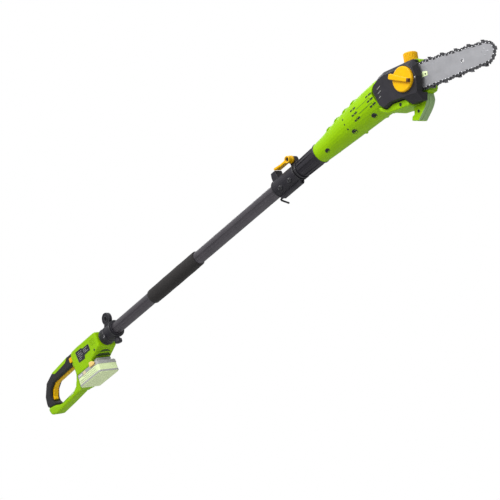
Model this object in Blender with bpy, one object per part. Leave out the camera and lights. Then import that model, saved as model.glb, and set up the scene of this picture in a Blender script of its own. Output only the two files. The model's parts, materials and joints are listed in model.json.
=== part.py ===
"""Telescoping pole saw with a battery, built as separate named pieces.

The origin is on the pole's axis at the middle of the foam fore grip. +X runs
along the pole to the cutting head, +Z is up (the battery and the branch hook
hang below), and -Y is the side of the sprocket cover.
"""

import math

import bmesh
import bpy
from mathutils import Vector

MM = 0.001
FIT = 0.0003          # gap between pieces that touch
WALL = 0.0025         # moulded wall thickness

# ---- pole -------------------------------------------------------------------
TUBE_RADIUS = 0.0175
TUBE_WALL = 0.0015
GROOVE_DEPTH = 0.0009
GROOVE_ANGLE = 200.0  # degrees round the pole, on the side of the cover
HANDLE_X = -0.374     # front face of the rear handle
TUBE_START = HANDLE_X - 0.022
COLLAR_LENGTH = 0.065
FOAM_LENGTH = 0.228
FOAM_THICK = 0.0040
CLAMP_X = 0.473
CLAMP_LENGTH = 0.090
CLAMP_THICK = 0.0052
SLEEVE_LENGTH = 0.081
SLEEVE_NECK = 0.024
INNER_OVERLAP = 0.800  # length of inner tube hidden in the outer one at rest
CONE_LENGTH = 0.2805   # lime housing, from the sleeve to the sprocket's axis

INNER_RADIUS = TUBE_RADIUS - TUBE_WALL - FIT
SLEEVE_X = CLAMP_X + CLAMP_LENGTH + 0.0015
JOINT_X = SLEEVE_X + SLEEVE_LENGTH
SPROCKET_X = JOINT_X + CONE_LENGTH
TUBE_END = CLAMP_X + CLAMP_LENGTH - 0.018

# ---- rear handle ------------------------------------------------------------
BODY_HALF = 0.032      # half width of the handle's body
LOOP_HALF = 0.0168     # half width of the D
CORE_HALF = 0.0125     # half width of the core under the soft grip
SKIN = 0.0035          # soft grip thickness on the outer edge
TRIGGER_HALF = 0.0070
TRIGGER_TRAVEL_DEG = 2.6
BUTTON_TRAVEL = 0.003

# ---- battery ----------------------------------------------------------------
BATTERY_LENGTH = 0.112
BATTERY_HALF = 0.034
BATTERY_TOP = -0.0538
BATTERY_SPLIT = -0.0640
BATTERY_BOTTOM = -0.0920
BATTERY_REAR = -0.1420  # from the handle's front face
RAIL_HALF = 0.0240
RAIL_NECK = 0.0200

# ---- cutting head, in a frame whose origin is the sprocket's axis -----------
HEAD_TILT = math.radians(18)
COVER_FACE = -0.0460
COVER_STEP = -0.0300
COVER_BACK = -0.0140
PLATE_FACE = -0.0137   # the lime chassis face behind the cover
CHASSIS_RIGHT = 0.0340
BAR_PLANE = -0.0220
BAR_THICK = 0.0046
BAR_GROOVE = 0.0018
GROOVE_DEEP = 0.0062
CHAIN_TANG = 0.0011
CHAIN_WIDTH = 0.0050
CHAIN_PITCH = 0.0186
STUD_A = 0.062
TAIL_A, TAIL_RADIUS = 0.046, 0.0195
BELLY_A, BELLY_RADIUS = 0.100, 0.0272
NOSE_A, NOSE_RADIUS = 0.275, 0.0200
SPROCKET_PATH = 0.0165
SPROCKET_TIP = 0.0104
KNOB_RADIUS = 0.0280
CAP_A = 0.049
CAP_Y = 0.003
HOOK_NEAR, HOOK_FAR = -0.0137, 0.0140
CAP_RADIUS = 0.0158
SHAFT_RADIUS = 0.0030
PINION_TEETH = 9
GEAR_TEETH = 18
GEAR_RADIUS = 0.0200
PINION_RADIUS = GEAR_RADIUS * PINION_TEETH / GEAR_TEETH
MOTOR_RADIUS = 0.0228
MOTOR_LENGTH = 0.070


def clear_scene():
    for old in list(bpy.data.objects):
        bpy.data.objects.remove(old, do_unlink=True)


def finish_of(name, colour, roughness, metallic=0.0):
    material = bpy.data.materials.new(name)
    material.use_nodes = True
    shader = material.node_tree.nodes["Principled BSDF"]
    shader.inputs["Base Color"].default_value = (*colour, 1.0)
    shader.inputs["Roughness"].default_value = roughness
    shader.inputs["Metallic"].default_value = metallic
    return material


FINISHES = {
    "lime": ((0.37, 0.68, 0.0), 0.4, 0.0),
    "dark": ((0.045, 0.042, 0.052), 0.5, 0.0),
    "rubber": ((0.03, 0.028, 0.028), 0.8, 0.0),
    "yellow": ((0.98, 0.57, 0.01), 0.4, 0.0),
    "pale_lime": ((0.62, 0.82, 0.42), 0.4, 0.0),
    "pale_grey": ((0.36, 0.36, 0.36), 0.5, 0.0),
    "pale_yellow": ((0.95, 0.80, 0.42), 0.4, 0.0),
    "tube": ((0.10, 0.095, 0.105), 0.4, 0.6),
    "steel": ((0.5, 0.5, 0.52), 0.3, 1.0),
    "chain": ((0.10, 0.10, 0.11), 0.35, 1.0),
    "board": ((0.02, 0.20, 0.08), 0.5, 0.0),
    "tank": ((0.85, 0.86, 0.80), 0.3, 0.0),
    "copper": ((0.72, 0.35, 0.18), 0.35, 1.0),
}


# ---- outlines: lists of (x, z) points ---------------------------------------
def mm(*pairs):
    """Points given in millimetres."""
    return [(x * MM, z * MM) for x, z in pairs]


def signed_area(points):
    total = 0.0
    for (x0, z0), (x1, z1) in zip(points, points[1:] + points[:1]):
        total += x0 * z1 - x1 * z0
    return total / 2


def offset(points, distance):
    """The outline moved outwards by a distance, or inwards if it is negative."""
    if distance == 0:
        return list(points)
    sign = 1.0 if signed_area(points) > 0 else -1.0
    moved = []
    count = len(points)
    for i in range(count):
        before = Vector(points[i - 1])
        here = Vector(points[i])
        after = Vector(points[(i + 1) % count])
        first = (here - before).normalized()
        second = (after - here).normalized()
        normal_1 = Vector((first.y, -first.x)) * sign
        normal_2 = Vector((second.y, -second.x)) * sign
        bisector = normal_1 + normal_2
        scale = 2.0 / max(bisector.length_squared, 0.8)
        moved.append(tuple(here + bisector * scale * distance))
    return moved


def fillet(points, radius, steps=3, inset=0.0):
    """The outline with each corner replaced by an arc of about this radius.

    inset is how far the outline has been moved inwards already: outer corners
    get tighter by it and inner ones wider.
    """
    rounded = []
    count = len(points)
    sign = 1.0 if signed_area(points) > 0 else -1.0
    for i in range(count):
        before = Vector(points[i - 1])
        here = Vector(points[i])
        after = Vector(points[(i + 1) % count])
        back = before - here
        ahead = after - here
        turn = back.angle(ahead)
        if turn > math.radians(172):
            rounded.append(tuple(here))
            continue
        outer_corner = (ahead.x * back.y - ahead.y * back.x) * sign > 0
        bend = max(radius - inset, 0.0004) if outer_corner else radius + inset
        reach = bend / math.tan(turn / 2)
        reach = min(reach, 0.45 * back.length, 0.45 * ahead.length)
        start = here + back.normalized() * reach
        end = here + ahead.normalized() * reach
        for k in range(steps + 1):
            t = k / steps
            point = (1 - t) ** 2 * start + 2 * t * (1 - t) * here + t ** 2 * end
            rounded.append(tuple(point))
    return rounded


def circle(radius, count, x=0.0, z=0.0):
    points = []
    for k in range(count):
        angle = 2 * math.pi * k / count
        points.append((x + radius * math.cos(angle), z + radius * math.sin(angle)))
    return points


def rectangle(x0, x1, z0, z1):
    return [(x0, z0), (x1, z0), (x1, z1), (x0, z1)]


def belt(wheels, count):
    """Points evenly spaced along a belt round wheels (a, radius) in a line."""
    first_a, first_r = wheels[0]
    last_a, last_r = wheels[-1]
    upper = []
    for (a0, r0), (a1, r1) in zip(wheels, wheels[1:]):
        lean = math.asin((r0 - r1) / (a1 - a0))
        upper.append((a0, r0, lean))
        upper.append((a1, r1, lean))
    top = []
    arc_steps = 24
    for k in range(arc_steps + 1):
        angle = math.pi + (math.pi / 2 - upper[0][2] - math.pi) * k / arc_steps
        top.append((first_a + first_r * math.cos(angle), first_r * math.sin(angle)))
    for i in range(1, len(upper) - 1, 2):
        a, r, lean_0 = upper[i]
        lean_1 = upper[i + 1][2]
        for k in range(7):
            angle = math.pi / 2 - (lean_0 + (lean_1 - lean_0) * k / 6)
            top.append((a + r * math.cos(angle), r * math.sin(angle)))
    start = math.pi / 2 - upper[-1][2]
    for k in range(arc_steps + 1):
        angle = start * (1 - k / arc_steps)
        top.append((last_a + last_r * math.cos(angle), last_r * math.sin(angle)))
    loop = top + [(a, -b) for a, b in reversed(top[1:-1])]
    lengths = [0.0]
    for (a0, b0), (a1, b1) in zip(loop, loop[1:] + loop[:1]):
        lengths.append(lengths[-1] + math.hypot(a1 - a0, b1 - b0))
    points = []
    segment = 0
    for k in range(count):
        wanted = lengths[-1] * k / count
        while lengths[segment + 1] < wanted:
            segment += 1
        t = (wanted - lengths[segment]) / (lengths[segment + 1] - lengths[segment])
        a0, b0 = loop[segment]
        a1, b1 = loop[(segment + 1) % len(loop)]
        points.append((a0 + (a1 - a0) * t, b0 + (b1 - b0) * t))
    return points


# ---- solids -----------------------------------------------------------------
def make(name, points, faces, finish, at=(0, 0, 0), tilt=0.0, smooth=False):
    mesh = bpy.data.meshes.new(name)
    mesh.from_pydata([tuple(p) for p in points], [], faces)
    shape = bmesh.new()
    shape.from_mesh(mesh)
    bmesh.ops.remove_doubles(shape, verts=shape.verts, dist=1e-7)
    bmesh.ops.recalc_face_normals(shape, faces=shape.faces)
    for face in shape.faces:
        face.smooth = smooth and len(face.verts) <= 4
    shape.to_mesh(mesh)
    shape.free()
    obj = bpy.data.objects.new(name, mesh)
    bpy.context.scene.collection.objects.link(obj)
    obj.location = at
    obj.rotation_euler = (0.0, tilt, 0.0)
    if finish is None:
        obj.hide_render = True
        obj.display_type = "WIRE"
    else:
        mesh.materials.append(MATERIALS[finish])
    return obj


def loft(name, rings, finish, closed=False, **placing):
    """Skin over rings of equal count. It is capped at both ends unless closed."""
    count = len(rings[0])
    points = [p for ring in rings for p in ring]
    faces = []
    last = len(rings) if closed else len(rings) - 1
    for i in range(last):
        here = i * count
        ahead = ((i + 1) % len(rings)) * count
        for j in range(count):
            k = (j + 1) % count
            faces.append((here + j, here + k, ahead + k, ahead + j))
    if not closed:
        faces.append(tuple(range(count)))
        faces.append(tuple(range((len(rings) - 1) * count, len(rings) * count)))
    return make(name, points, faces, finish, **placing)


def at_y(outline, y):
    return [(x, y, z) for x, z in outline]


def at_z(outline, z):
    return [(x, y, z) for x, y in outline]


def prism(name, outline, y0, y1, finish, edge_0=0.0, edge_1=0.0, corner=0.0, steps=2,
          **placing):
    """An outline in XZ run along Y, with rounded edges at either end.

    corner rounds the outline's own corners.
    """
    def ring(inset, y):
        moved = offset(outline, -inset)
        return at_y(fillet(moved, corner, steps, inset) if corner else moved, y)

    rings = [ring(edge_0, y0)]
    if edge_0:
        rings += [ring(0.3 * edge_0, y0 + 0.3 * edge_0), ring(0.0, y0 + edge_0)]
    if edge_1:
        rings += [ring(0.0, y1 - edge_1), ring(0.3 * edge_1, y1 - 0.3 * edge_1)]
    rings.append(ring(edge_1, y1))
    return loft(name, rings, finish, **placing)


def tower(name, outline, z0, z1, finish, **placing):
    """An outline in XY run along Z."""
    return loft(name, [at_z(outline, z0), at_z(outline, z1)], finish, **placing)


def turned(name, profile, axis, finish, count=24, closed=False, teeth=None, **placing):
    """A profile of (along, radius) turned round an axis through the origin.

    A radius of 0 ends the profile on the axis. teeth maps a ring's index to the
    root radius that every second point drops to.
    """
    rings = []
    for index, (along, radius) in enumerate(profile):
        ring = []
        for k in range(count):
            angle = 2 * math.pi * (k + 0.5) / count
            reach = radius
            if teeth and index in teeth and k % 2:
                reach = teeth[index]
            u = reach * math.cos(angle)
            v = reach * math.sin(angle)
            if axis == "X":
                ring.append((along, u, v))
            elif axis == "Y":
                ring.append((v, along, u))
            else:
                ring.append((u, v, along))
        rings.append(ring)
    placing.setdefault("smooth", True)
    return loft(name, rings, finish, closed=closed, **placing)


def tube_of(name, start, end, inner, outer, axis, finish, **placing):
    profile = [(start, inner), (start, outer), (end, outer), (end, inner)]
    return turned(name, profile, axis, finish, closed=True, **placing)


def boolean(target, other, operation):
    modifier = target.modifiers.new(operation.lower(), "BOOLEAN")
    modifier.operation = operation
    modifier.solver = "EXACT"
    modifier.object = other
    return target


def cut(target, *others):
    for other in others:
        boolean(target, other, "DIFFERENCE")
    return target


def join(target, *others):
    for other in others:
        boolean(target, other, "UNION")
    return target


def boxes(name, sizes, finish=None, **placing):
    """Separate boxes in one mesh, each given by its low and high corner."""
    points = []
    faces = []
    for low, high in sizes:
        base = len(points)
        for x in (low[0], high[0]):
            for y in (low[1], high[1]):
                for z in (low[2], high[2]):
                    points.append((x, y, z))
        for face in ((0, 1, 3, 2), (4, 6, 7, 5), (0, 4, 5, 1),
                     (2, 3, 7, 6), (0, 2, 6, 4), (1, 5, 7, 3)):
            faces.append(tuple(base + k for k in face))
    return make(name, points, faces, finish, **placing)


def shifted(at, x=0.0, y=0.0, z=0.0, tilt=0.0):
    """A point given in a tilted frame at `at`, in the pole's frame."""
    return (
        at[0] + x * math.cos(tilt) + z * math.sin(tilt),
        at[1] + y,
        at[2] - x * math.sin(tilt) + z * math.cos(tilt),
    )


HANDLE = (HANDLE_X, 0.0, 0.0)
HEAD = (SPROCKET_X, 0.0, 0.0)
clear_scene()
MATERIALS = {name: finish_of(name, *values) for name, values in FINISHES.items()}

# ---- outlines of the rear handle, from its front face -----------------------
BODY = mm(
    (-2, TUBE_RADIUS / MM + 3.0), (-26, 27.5), (-126, 28), (-166, 3), (-170, -9),
    (-163, -22), (-166, -40), (-174, -55), (-184, -66), (-180, -88), (-152, -88), (-146, BATTERY_TOP / MM + 0.5),
    (-58, BATTERY_TOP / MM + 0.5), (-54, -44), (-2, -TUBE_RADIUS / MM - 5.5))
GRIP_OUTER = mm((-110, 27.4), (-192, 27), (-286, 19), (-329, 4), (-356, -31), (-361, -66))
GRIP_INNER = mm((-318.2, -71.1), (-316.5, -66), (-325.5, -55), (-327, -43), (-316, -23),
                (-293, -10), (-187, -7.5), (-140, -7.5))
GRIP = GRIP_OUTER + GRIP_INNER
CORE_OUTER = mm((-130, 24.2), (-191.5, 23.2), (-285, 15.4), (-326, 1), (-352.5, -32),
                (-357.6, -72))
CORE_INNER = mm((-325, -72), (-329, -62), (-330, -42), (-318, -20), (-294, -7),
                (-187, -4), (-160, -4))
CORE = CORE_OUTER + CORE_INNER
LOWER_ARM = mm(
    (-361, -66.4), (-350, -90), (-324, -98), (-258, -94.5), (-176, -88), (-178, -66),
    (-186, -66), (-211, -78), (-281, -81), (-304, -78.5), (-318, -71.6))
TRIGGER_FACE = mm((-184, -10.5), (-292, -14), (-310, -25), (-320.5, -43), (-320.5, -52))
TRIGGER_BACK = mm((-338, -52), (-338, -42), (-324, -14), (-296, -1.5), (-184, 1.5))
TRIGGER = TRIGGER_FACE + TRIGGER_BACK
CHANNEL = mm((-170, -30), (-292, -30), (-312, -57), (-340.5, -57), (-340.5, -38), (-327, -8),
             (-299, 7), (-180, 11.5), (-170, 11.5))
PIVOT = (-0.3325, -0.0465)
SCREWS = mm((-39, 21.0), (-101, 20.0), (-26, -24.0))
SCREW_DEPTHS = (0.0110, 0.0110, 0.0035)
BUTTON = (-0.1665, 0.0075)
BUTTON_LONG = 0.0085
BUTTON_HIGH = 0.0075
# The body's upper and rear edges are cut to flat facets. Each line is (y, z) or (x, y).
FACET_INSIDE = 0.0169
FACET_TOP = 0.0292
FACET_SLOPE = 0.714
REAR_FACET_START = -0.1299
REAR_FACET_END = -0.1659
FAR_OUT = 0.040


def body_facets(label, side, deeper):
    """Two cutters that bevel one side of the body, moved inwards by a wall for its room."""
    rise = deeper * math.hypot(1.0, FACET_SLOPE)
    low = FACET_TOP - FACET_SLOPE * (FAR_OUT - FACET_INSIDE) - rise
    near = FACET_INSIDE - rise / FACET_SLOPE
    top = loft(label + "_top_facet", [
        [(x, side * near, FACET_TOP), (x, side * FAR_OUT, FACET_TOP), (x, side * FAR_OUT, low)]
        for x in (-0.20, 0.01)], None, at=HANDLE)
    shift = 1.2 * deeper
    rear = loft(label + "_rear_facet", [
        [(REAR_FACET_START + shift, side * FAR_OUT, z), (REAR_FACET_END, side * (FACET_INSIDE - shift), z),
         (-0.200, side * (FACET_INSIDE - shift), z), (-0.200, side * FAR_OUT, z)]
        for z in (-0.100, 0.035)], None, at=HANDLE)
    return top, rear


def handle_half(name, side):
    """One half shell: a hollow body, the neck, the grip's core and the lower arm."""
    seam = side * FIT / 2
    rounding = "edge_0" if side < 0 else "edge_1"

    def half(label, outline, reach, edge, corner, finish=None):
        ends = sorted((seam, side * reach))
        return prism(name + label, outline, *ends, finish, corner=corner, at=HANDLE,
                     **{rounding: edge})

    shell = half("", BODY, BODY_HALF, 0.0045, 0.006, "lime")
    join(shell, half("_core", CORE, CORE_HALF, 0.0, 0.010),
         half("_arm", LOWER_ARM, LOOP_HALF, 0.005, 0.008))
    room = prism(name + "_room", offset(BODY, -WALL), -BODY_HALF + WALL, BODY_HALF - WALL,
                 None, corner=0.004, at=HANDLE)
    cut(room, *body_facets(name + "_room", side, WALL))
    cut(shell, room)
    for index, (x, z) in enumerate(SCREWS):
        ends = sorted((seam, side * (BODY_HALF - 0.001)))
        boss = prism(f"{name}_boss_{index}", circle(0.0042, 8, x, z), *ends, None, at=HANDLE)
        join(shell, boss)
        if side < 0:
            recess = prism(f"{name}_recess_{index}", circle(0.0031, 8, x, z), -0.05,
                           -BODY_HALF + SCREW_DEPTHS[index] + 0.0025, None, at=HANDLE)
            cut(shell, recess)
        hole = prism(f"{name}_hole_{index}", circle(0.0016, 6, x, z),
                     *sorted((-side * 0.01, side * (BODY_HALF - 0.008 if side > 0 else 0.05))),
                     None, at=HANDLE)
        cut(shell, hole)
    channel = prism(name + "_channel", CHANNEL, -TRIGGER_HALF - 0.0008, TRIGGER_HALF + 0.0008,
                    None, at=HANDLE)
    pivot = prism(name + "_pivot", circle(0.0022, 12, *PIVOT), -CORE_HALF + 0.001,
                  CORE_HALF - 0.001, None, at=HANDLE)
    bore = turned(name + "_bore", [(-0.060, TUBE_RADIUS + FIT), (0.01, TUBE_RADIUS + FIT)], "X",
                  None, at=HANDLE, count=32)
    # The opening for the battery's rail, in the floor and out through the sloped front.
    rail = boxes(name + "_rail", [
        ((-0.1435, -RAIL_NECK - 0.0006, -0.060), (-0.030, RAIL_NECK + 0.0006, -0.0440)),
    ], at=HANDLE)
    rail_front = boxes(name + "_rail_front", [
        ((-0.0620, -RAIL_HALF - 0.0006, -0.0508), (-0.030, RAIL_HALF + 0.0006, -0.0440)),
    ], at=HANDLE)
    reach = boxes(name + "_reach", [
        ((-0.170, -TRIGGER_HALF - 0.0008, -0.006), (-0.155, TRIGGER_HALF + 0.0008, 0.0115)),
    ], at=HANDLE)
    cut(shell, channel, pivot, bore, rail, rail_front, reach,
        *body_facets(name, side, 0.0))
    return shell


left = handle_half("handle_shell_left", -1)
right = handle_half("handle_shell_right", 1)
BUTTON_HOLE = fillet(rectangle(
    BUTTON[0] - BUTTON_LONG - FIT, BUTTON[0] + BUTTON_LONG + FIT,
    BUTTON[1] - BUTTON_HIGH - FIT, BUTTON[1] + BUTTON_HIGH + FIT), 0.003, 2)
cut(left, prism("button_hole", BUTTON_HOLE, -0.040, -0.0095, None, at=HANDLE))
PANEL = mm((-117, 8.5), (-85, 8.3), (-80, 4), (-46, 3.5), (-45, -15), (-77, -16), (-81, -25.5),
           (-113, -24))
panel_recess = prism("panel_recess", offset(PANEL, FIT), -0.05, -BODY_HALF + 0.0009, None,
                     at=HANDLE)
cut(left, panel_recess)
prism("panel_plate", PANEL, -BODY_HALF - 0.0004, -BODY_HALF + 0.0006, "dark", at=HANDLE)
for index, (x, z) in enumerate(SCREWS):
    head_y = -BODY_HALF + SCREW_DEPTHS[index]
    turned(f"handle_screw_{index + 1}",
           [(head_y, 0.0027), (head_y + 0.0022, 0.0027),
            (head_y + 0.0022, 0.0013), (0.0080, 0.0013)], "Y", "steel", count=8,
           at=shifted(HANDLE, x=x, z=z))

skin_inner = prism("rear_grip_core", fillet(
    mm((-110, 24.6), (-191.5, 23.5), (-285.1, 15.7), (-326.2, 1.3), (-352.8, -31.9),
       (-358, -74), (-321, -74), (-327.5, -62), (-329.7, -42.2), (-317.7, -20.4),
       (-293.8, -7.4), (-187, -4.4), (-140, -4.4)), 0.010, 2), -CORE_HALF - FIT, CORE_HALF + FIT, None, at=HANDLE)
grip = prism("rear_grip", GRIP, -LOOP_HALF, LOOP_HALF, "rubber", edge_0=0.005, edge_1=0.005,
             corner=0.012, at=HANDLE, smooth=True)
body_clear = prism("rear_grip_front", offset(BODY, FIT), -0.05, 0.05, None, at=HANDLE)
grip_channel = prism("rear_grip_channel", CHANNEL, -TRIGGER_HALF - 0.0008,
                     TRIGGER_HALF + 0.0008, None, at=HANDLE)
cut(grip, skin_inner, body_clear, grip_channel,
    prism("rear_grip_button", BUTTON_HOLE, -0.040, -0.0095, None, at=HANDLE))
inset_slot = prism("grip_inset_slot", mm((-203.5, 30), (-284, 24), (-284.6, 17.6),
                                         (-203.5, 24.3)),
                   -0.0105, 0.0105, None, at=HANDLE)
cut(grip, inset_slot)
prism("grip_inset", mm((-204, 26.3), (-283.5, 19.5), (-284, 17.95), (-204, 24.75)), -0.0100,
      0.0100, "lime", at=HANDLE)

trigger = prism("trigger", [(x - PIVOT[0], z - PIVOT[1]) for x, z in TRIGGER], -TRIGGER_HALF,
                TRIGGER_HALF, "yellow", edge_0=0.0015, edge_1=0.0015, corner=0.003,
                at=shifted(HANDLE, x=PIVOT[0], z=PIVOT[1]))
trigger_hole = prism("trigger_hole", circle(0.0023, 12), -0.02, 0.02, None,
                     at=shifted(HANDLE, x=PIVOT[0], z=PIVOT[1]))
trigger_foot = prism("trigger_foot", [(x - PIVOT[0], z - PIVOT[1]) for x, z in mm(
    (-190, -8.0), (-158, -2.0), (-158, 1.2), (-190, 1.2))], -0.004, 0.004, None,
    at=shifted(HANDLE, x=PIVOT[0], z=PIVOT[1]))
join(trigger, trigger_foot)
cut(trigger, trigger_hole)
turned("trigger_pin", [(-CORE_HALF + 0.0013, 0.0019), (CORE_HALF - 0.0013, 0.0019)], "Y",
       "steel", count=12, at=shifted(HANDLE, x=PIVOT[0], z=PIVOT[1]))
button_at = shifted(HANDLE, x=BUTTON[0], z=BUTTON[1])
prism("lock_button", fillet(rectangle(-BUTTON_LONG, BUTTON_LONG, -BUTTON_HIGH, BUTTON_HIGH),
                            0.003, 2), -LOOP_HALF - 0.0040, -0.0130, "yellow", edge_0=0.0015, at=button_at)
boxes("main_switch", [((-0.152, -0.008, -0.0150), (-0.130, 0.008, 0.0))], "dark", at=HANDLE)
boxes("control_board", [((-0.128, 0.012, -0.030), (-0.058, 0.0136, 0.010))], "board", at=HANDLE)
terminal = boxes("terminal_block", [((-0.1425, -0.016, -0.0500), (-0.1370, 0.016, -0.0300))],
                 "dark", at=HANDLE)
blades = boxes("terminal_blades", [
    ((-0.138, y - 0.0004, -0.0490), (-0.1255, y + 0.0004, -0.0455)) for y in (-0.010, 0, 0.010)],
    at=HANDLE)
join(terminal, blades)

# ---- battery ----------------------------------------------------------------
BATTERY_AT = (HANDLE_X + BATTERY_REAR, 0.0, 0.0)
PACK = fillet([(0.0, -BATTERY_HALF), (BATTERY_LENGTH, -BATTERY_HALF),
               (BATTERY_LENGTH, BATTERY_HALF), (0.0, BATTERY_HALF)], 0.007, 3)
inner = offset(PACK, -0.002)
loft("battery_tub", [
    at_z(inner, BATTERY_BOTTOM + 0.0025), at_z(inner, BATTERY_SPLIT - FIT / 2),
    at_z(PACK, BATTERY_SPLIT - FIT / 2), at_z(PACK, BATTERY_BOTTOM + 0.0025),
    at_z(offset(PACK, -0.0025), BATTERY_BOTTOM)], "pale_lime", at=BATTERY_AT)
lid = loft("battery_lid", [
    at_z(inner, BATTERY_TOP - 0.0022), at_z(inner, BATTERY_SPLIT + FIT / 2),
    at_z(PACK, BATTERY_SPLIT + FIT / 2), at_z(PACK, BATTERY_TOP - 0.002),
    at_z(offset(PACK, -0.002), BATTERY_TOP)], "pale_grey", at=BATTERY_AT)
tongue = boxes("battery_tongue", [
    ((0.012, -RAIL_NECK, BATTERY_TOP - 0.001), (0.104, RAIL_NECK, -0.0448))], at=BATTERY_AT)
flanges = boxes("battery_flanges", [
    ((0.012, -RAIL_HALF, -0.0503), (0.104, RAIL_HALF, -0.0448))], at=BATTERY_AT)
slots = boxes("battery_slots", [
    ((0.008, y - 0.0012, -0.0500), (0.022, y + 0.0012, -0.0440)) for y in (-0.010, 0, 0.010)],
    at=BATTERY_AT)
join(lid, tongue, flanges)
cut(lid, slots)
LATCH_X, LATCH_Z = 0.092, BATTERY_TOP - 0.0052
for side, label in ((-1, "left"), (1, "right")):
    reach = sorted((side * (BATTERY_HALF - 0.006), side * (BATTERY_HALF + 0.006)))
    hole = boxes(f"latch_hole_{label}", [
        ((LATCH_X - 0.0083, reach[0], LATCH_Z - 0.0031),
         (LATCH_X + 0.0083, reach[1], LATCH_Z + 0.0031))], at=BATTERY_AT)
    cut(lid, hole)
    ends = sorted((side * (BATTERY_HALF - 0.004), side * (BATTERY_HALF + 0.0018)))
    prism(f"battery_latch_{label}", fillet(rectangle(-0.008, 0.008, -0.0028, 0.0028), 0.001, 1),
          *ends, "pale_yellow", at=shifted(BATTERY_AT, x=LATCH_X, z=LATCH_Z))
cell_rows = []
for row in range(5):
    for k in range(6):
        angle = math.pi * (1 - k / 5)
        cell_rows.append((0.0155 + row * 0.0185 + 0.00925 * math.cos(angle),
                          0.0060 + 0.0092 * math.sin(angle)))
upper = [(x, z) for x, z in cell_rows]
lower = [(x, -z) for x, z in reversed(cell_rows)]
prism("cell_pack", [(x, z + BATTERY_BOTTOM + 0.0180) for x, z in upper + lower], -0.0270,
      0.0270, "tank", at=BATTERY_AT)

# ---- pole -------------------------------------------------------------------
def grooved(radius, x, count=28):
    """A ring round the pole whose circle has one shallow V groove along it."""
    points = []
    for k in range(count):
        angle = math.radians(GROOVE_ANGLE) + 2 * math.pi * k / count
        reach = radius - (GROOVE_DEPTH if k == 0 else 0.0)
        points.append((x, reach * math.cos(angle), reach * math.sin(angle)))
    return points


loft("outer_tube", [grooved(TUBE_RADIUS - TUBE_WALL, TUBE_START), grooved(TUBE_RADIUS, TUBE_START),
                    grooved(TUBE_RADIUS, TUBE_END), grooved(TUBE_RADIUS - TUBE_WALL, TUBE_END)],
     "tube", closed=True, smooth=True)
INNER_START = SLEEVE_X - INNER_OVERLAP
INNER_END = JOINT_X + SLEEVE_NECK
loft("inner_tube", [grooved(INNER_RADIUS - TUBE_WALL, INNER_START),
                    grooved(INNER_RADIUS, INNER_START), grooved(INNER_RADIUS, INNER_END),
                    grooved(INNER_RADIUS - TUBE_WALL, INNER_END)],
     "tube", closed=True, smooth=True)
half = FOAM_LENGTH / 2
foam_r = TUBE_RADIUS + FOAM_THICK
turned("foam_grip", [(-half, TUBE_RADIUS + FIT), (-half, foam_r - 0.0015),
                     (-half + 0.003, foam_r), (half - 0.003, foam_r), (half, foam_r - 0.0015),
                     (half, TUBE_RADIUS + FIT)], "X", "rubber", closed=True, count=24)

collar_r = TUBE_RADIUS + 0.0062
collar = turned("tube_collar", [
    (FIT, TUBE_RADIUS + FIT), (FIT, collar_r), (0.012, collar_r + 0.0004), (0.020, collar_r),
    (COLLAR_LENGTH - 0.006, collar_r - 0.0018), (COLLAR_LENGTH, collar_r - 0.0030),
    (COLLAR_LENGTH, TUBE_RADIUS + FIT)], "X", "dark", closed=True, count=24, at=HANDLE)
COLLAR_MID = 0.033
EYE_HOLE = 0.0055
collar_ear = prism("collar_ear", fillet(rectangle(
    COLLAR_MID - 0.014, COLLAR_MID + 0.014, collar_r - 0.0035, collar_r + 0.0050), 0.003, 2),
    -0.0075, 0.0075, None, at=HANDLE)
knob_boss = turned("collar_boss", [(-collar_r - 0.0045, 0.0070), (-collar_r + 0.0035, 0.0070)],
                   "Z", None, count=20, at=shifted(HANDLE, x=0.052))
knob_hole = turned("collar_knob_hole", [(-collar_r - 0.01, 0.0028), (-TUBE_RADIUS - 0.0015, 0.0028)],
                   "Z", None, count=16, at=shifted(HANDLE, x=0.052))
collar_pin_hole = turned("collar_pin_hole", [(0.0, 0.0024), (0.05, 0.0024)], "Z", None,
                         count=12, at=shifted(HANDLE, x=COLLAR_MID, z=collar_r - 0.001))
join(collar, collar_ear, knob_boss)
cut(collar, knob_hole, collar_pin_hole)
turned("collar_knob", [(-collar_r - 0.0165, 0.0), (-collar_r - 0.0165, 0.0095),
                       (-collar_r - 0.0150, 0.0110), (-collar_r - 0.0070, 0.0110),
                       (-collar_r - 0.0050, 0.0090), (-collar_r - 0.0050, 0.0025),
                       (-TUBE_RADIUS - 0.0020, 0.0025), (-TUBE_RADIUS - 0.0020, 0.0)],
       "Z", "dark", count=20, teeth={2: 0.0100, 3: 0.0100}, at=shifted(HANDLE, x=0.052))
# The strap eyelet: a thick disc with a flat foot, held by a short stem in the collar's ear.
EYE_RADIUS = 0.0185
EYE_Z = collar_r + 0.0053 + 0.0135
EYE_HALF = 0.0045
eye = prism("strap_eyelet", circle(EYE_RADIUS, 28), -EYE_HALF, EYE_HALF, "dark", edge_0=0.0015,
            edge_1=0.0015, at=shifted(HANDLE, x=COLLAR_MID, z=EYE_Z))
eye_foot = boxes("strap_eyelet_foot", [((-0.03, -0.02, -0.04), (0.03, 0.02, -0.0135))],
                 at=shifted(HANDLE, x=COLLAR_MID, z=EYE_Z))
cut(eye, eye_foot)
eye_hole = prism("strap_eyelet_hole", circle(EYE_HOLE, 16), -0.02, 0.02, None,
                 at=shifted(HANDLE, x=COLLAR_MID, z=EYE_Z))
eye_stem = turned("strap_eyelet_stem", [(collar_r + 0.0004, 0.0021), (EYE_Z - 0.011, 0.0021)], "Z",
                  None, count=12, at=shifted(HANDLE, x=COLLAR_MID))
join(eye, eye_stem)
cut(eye, eye_hole)

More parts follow.
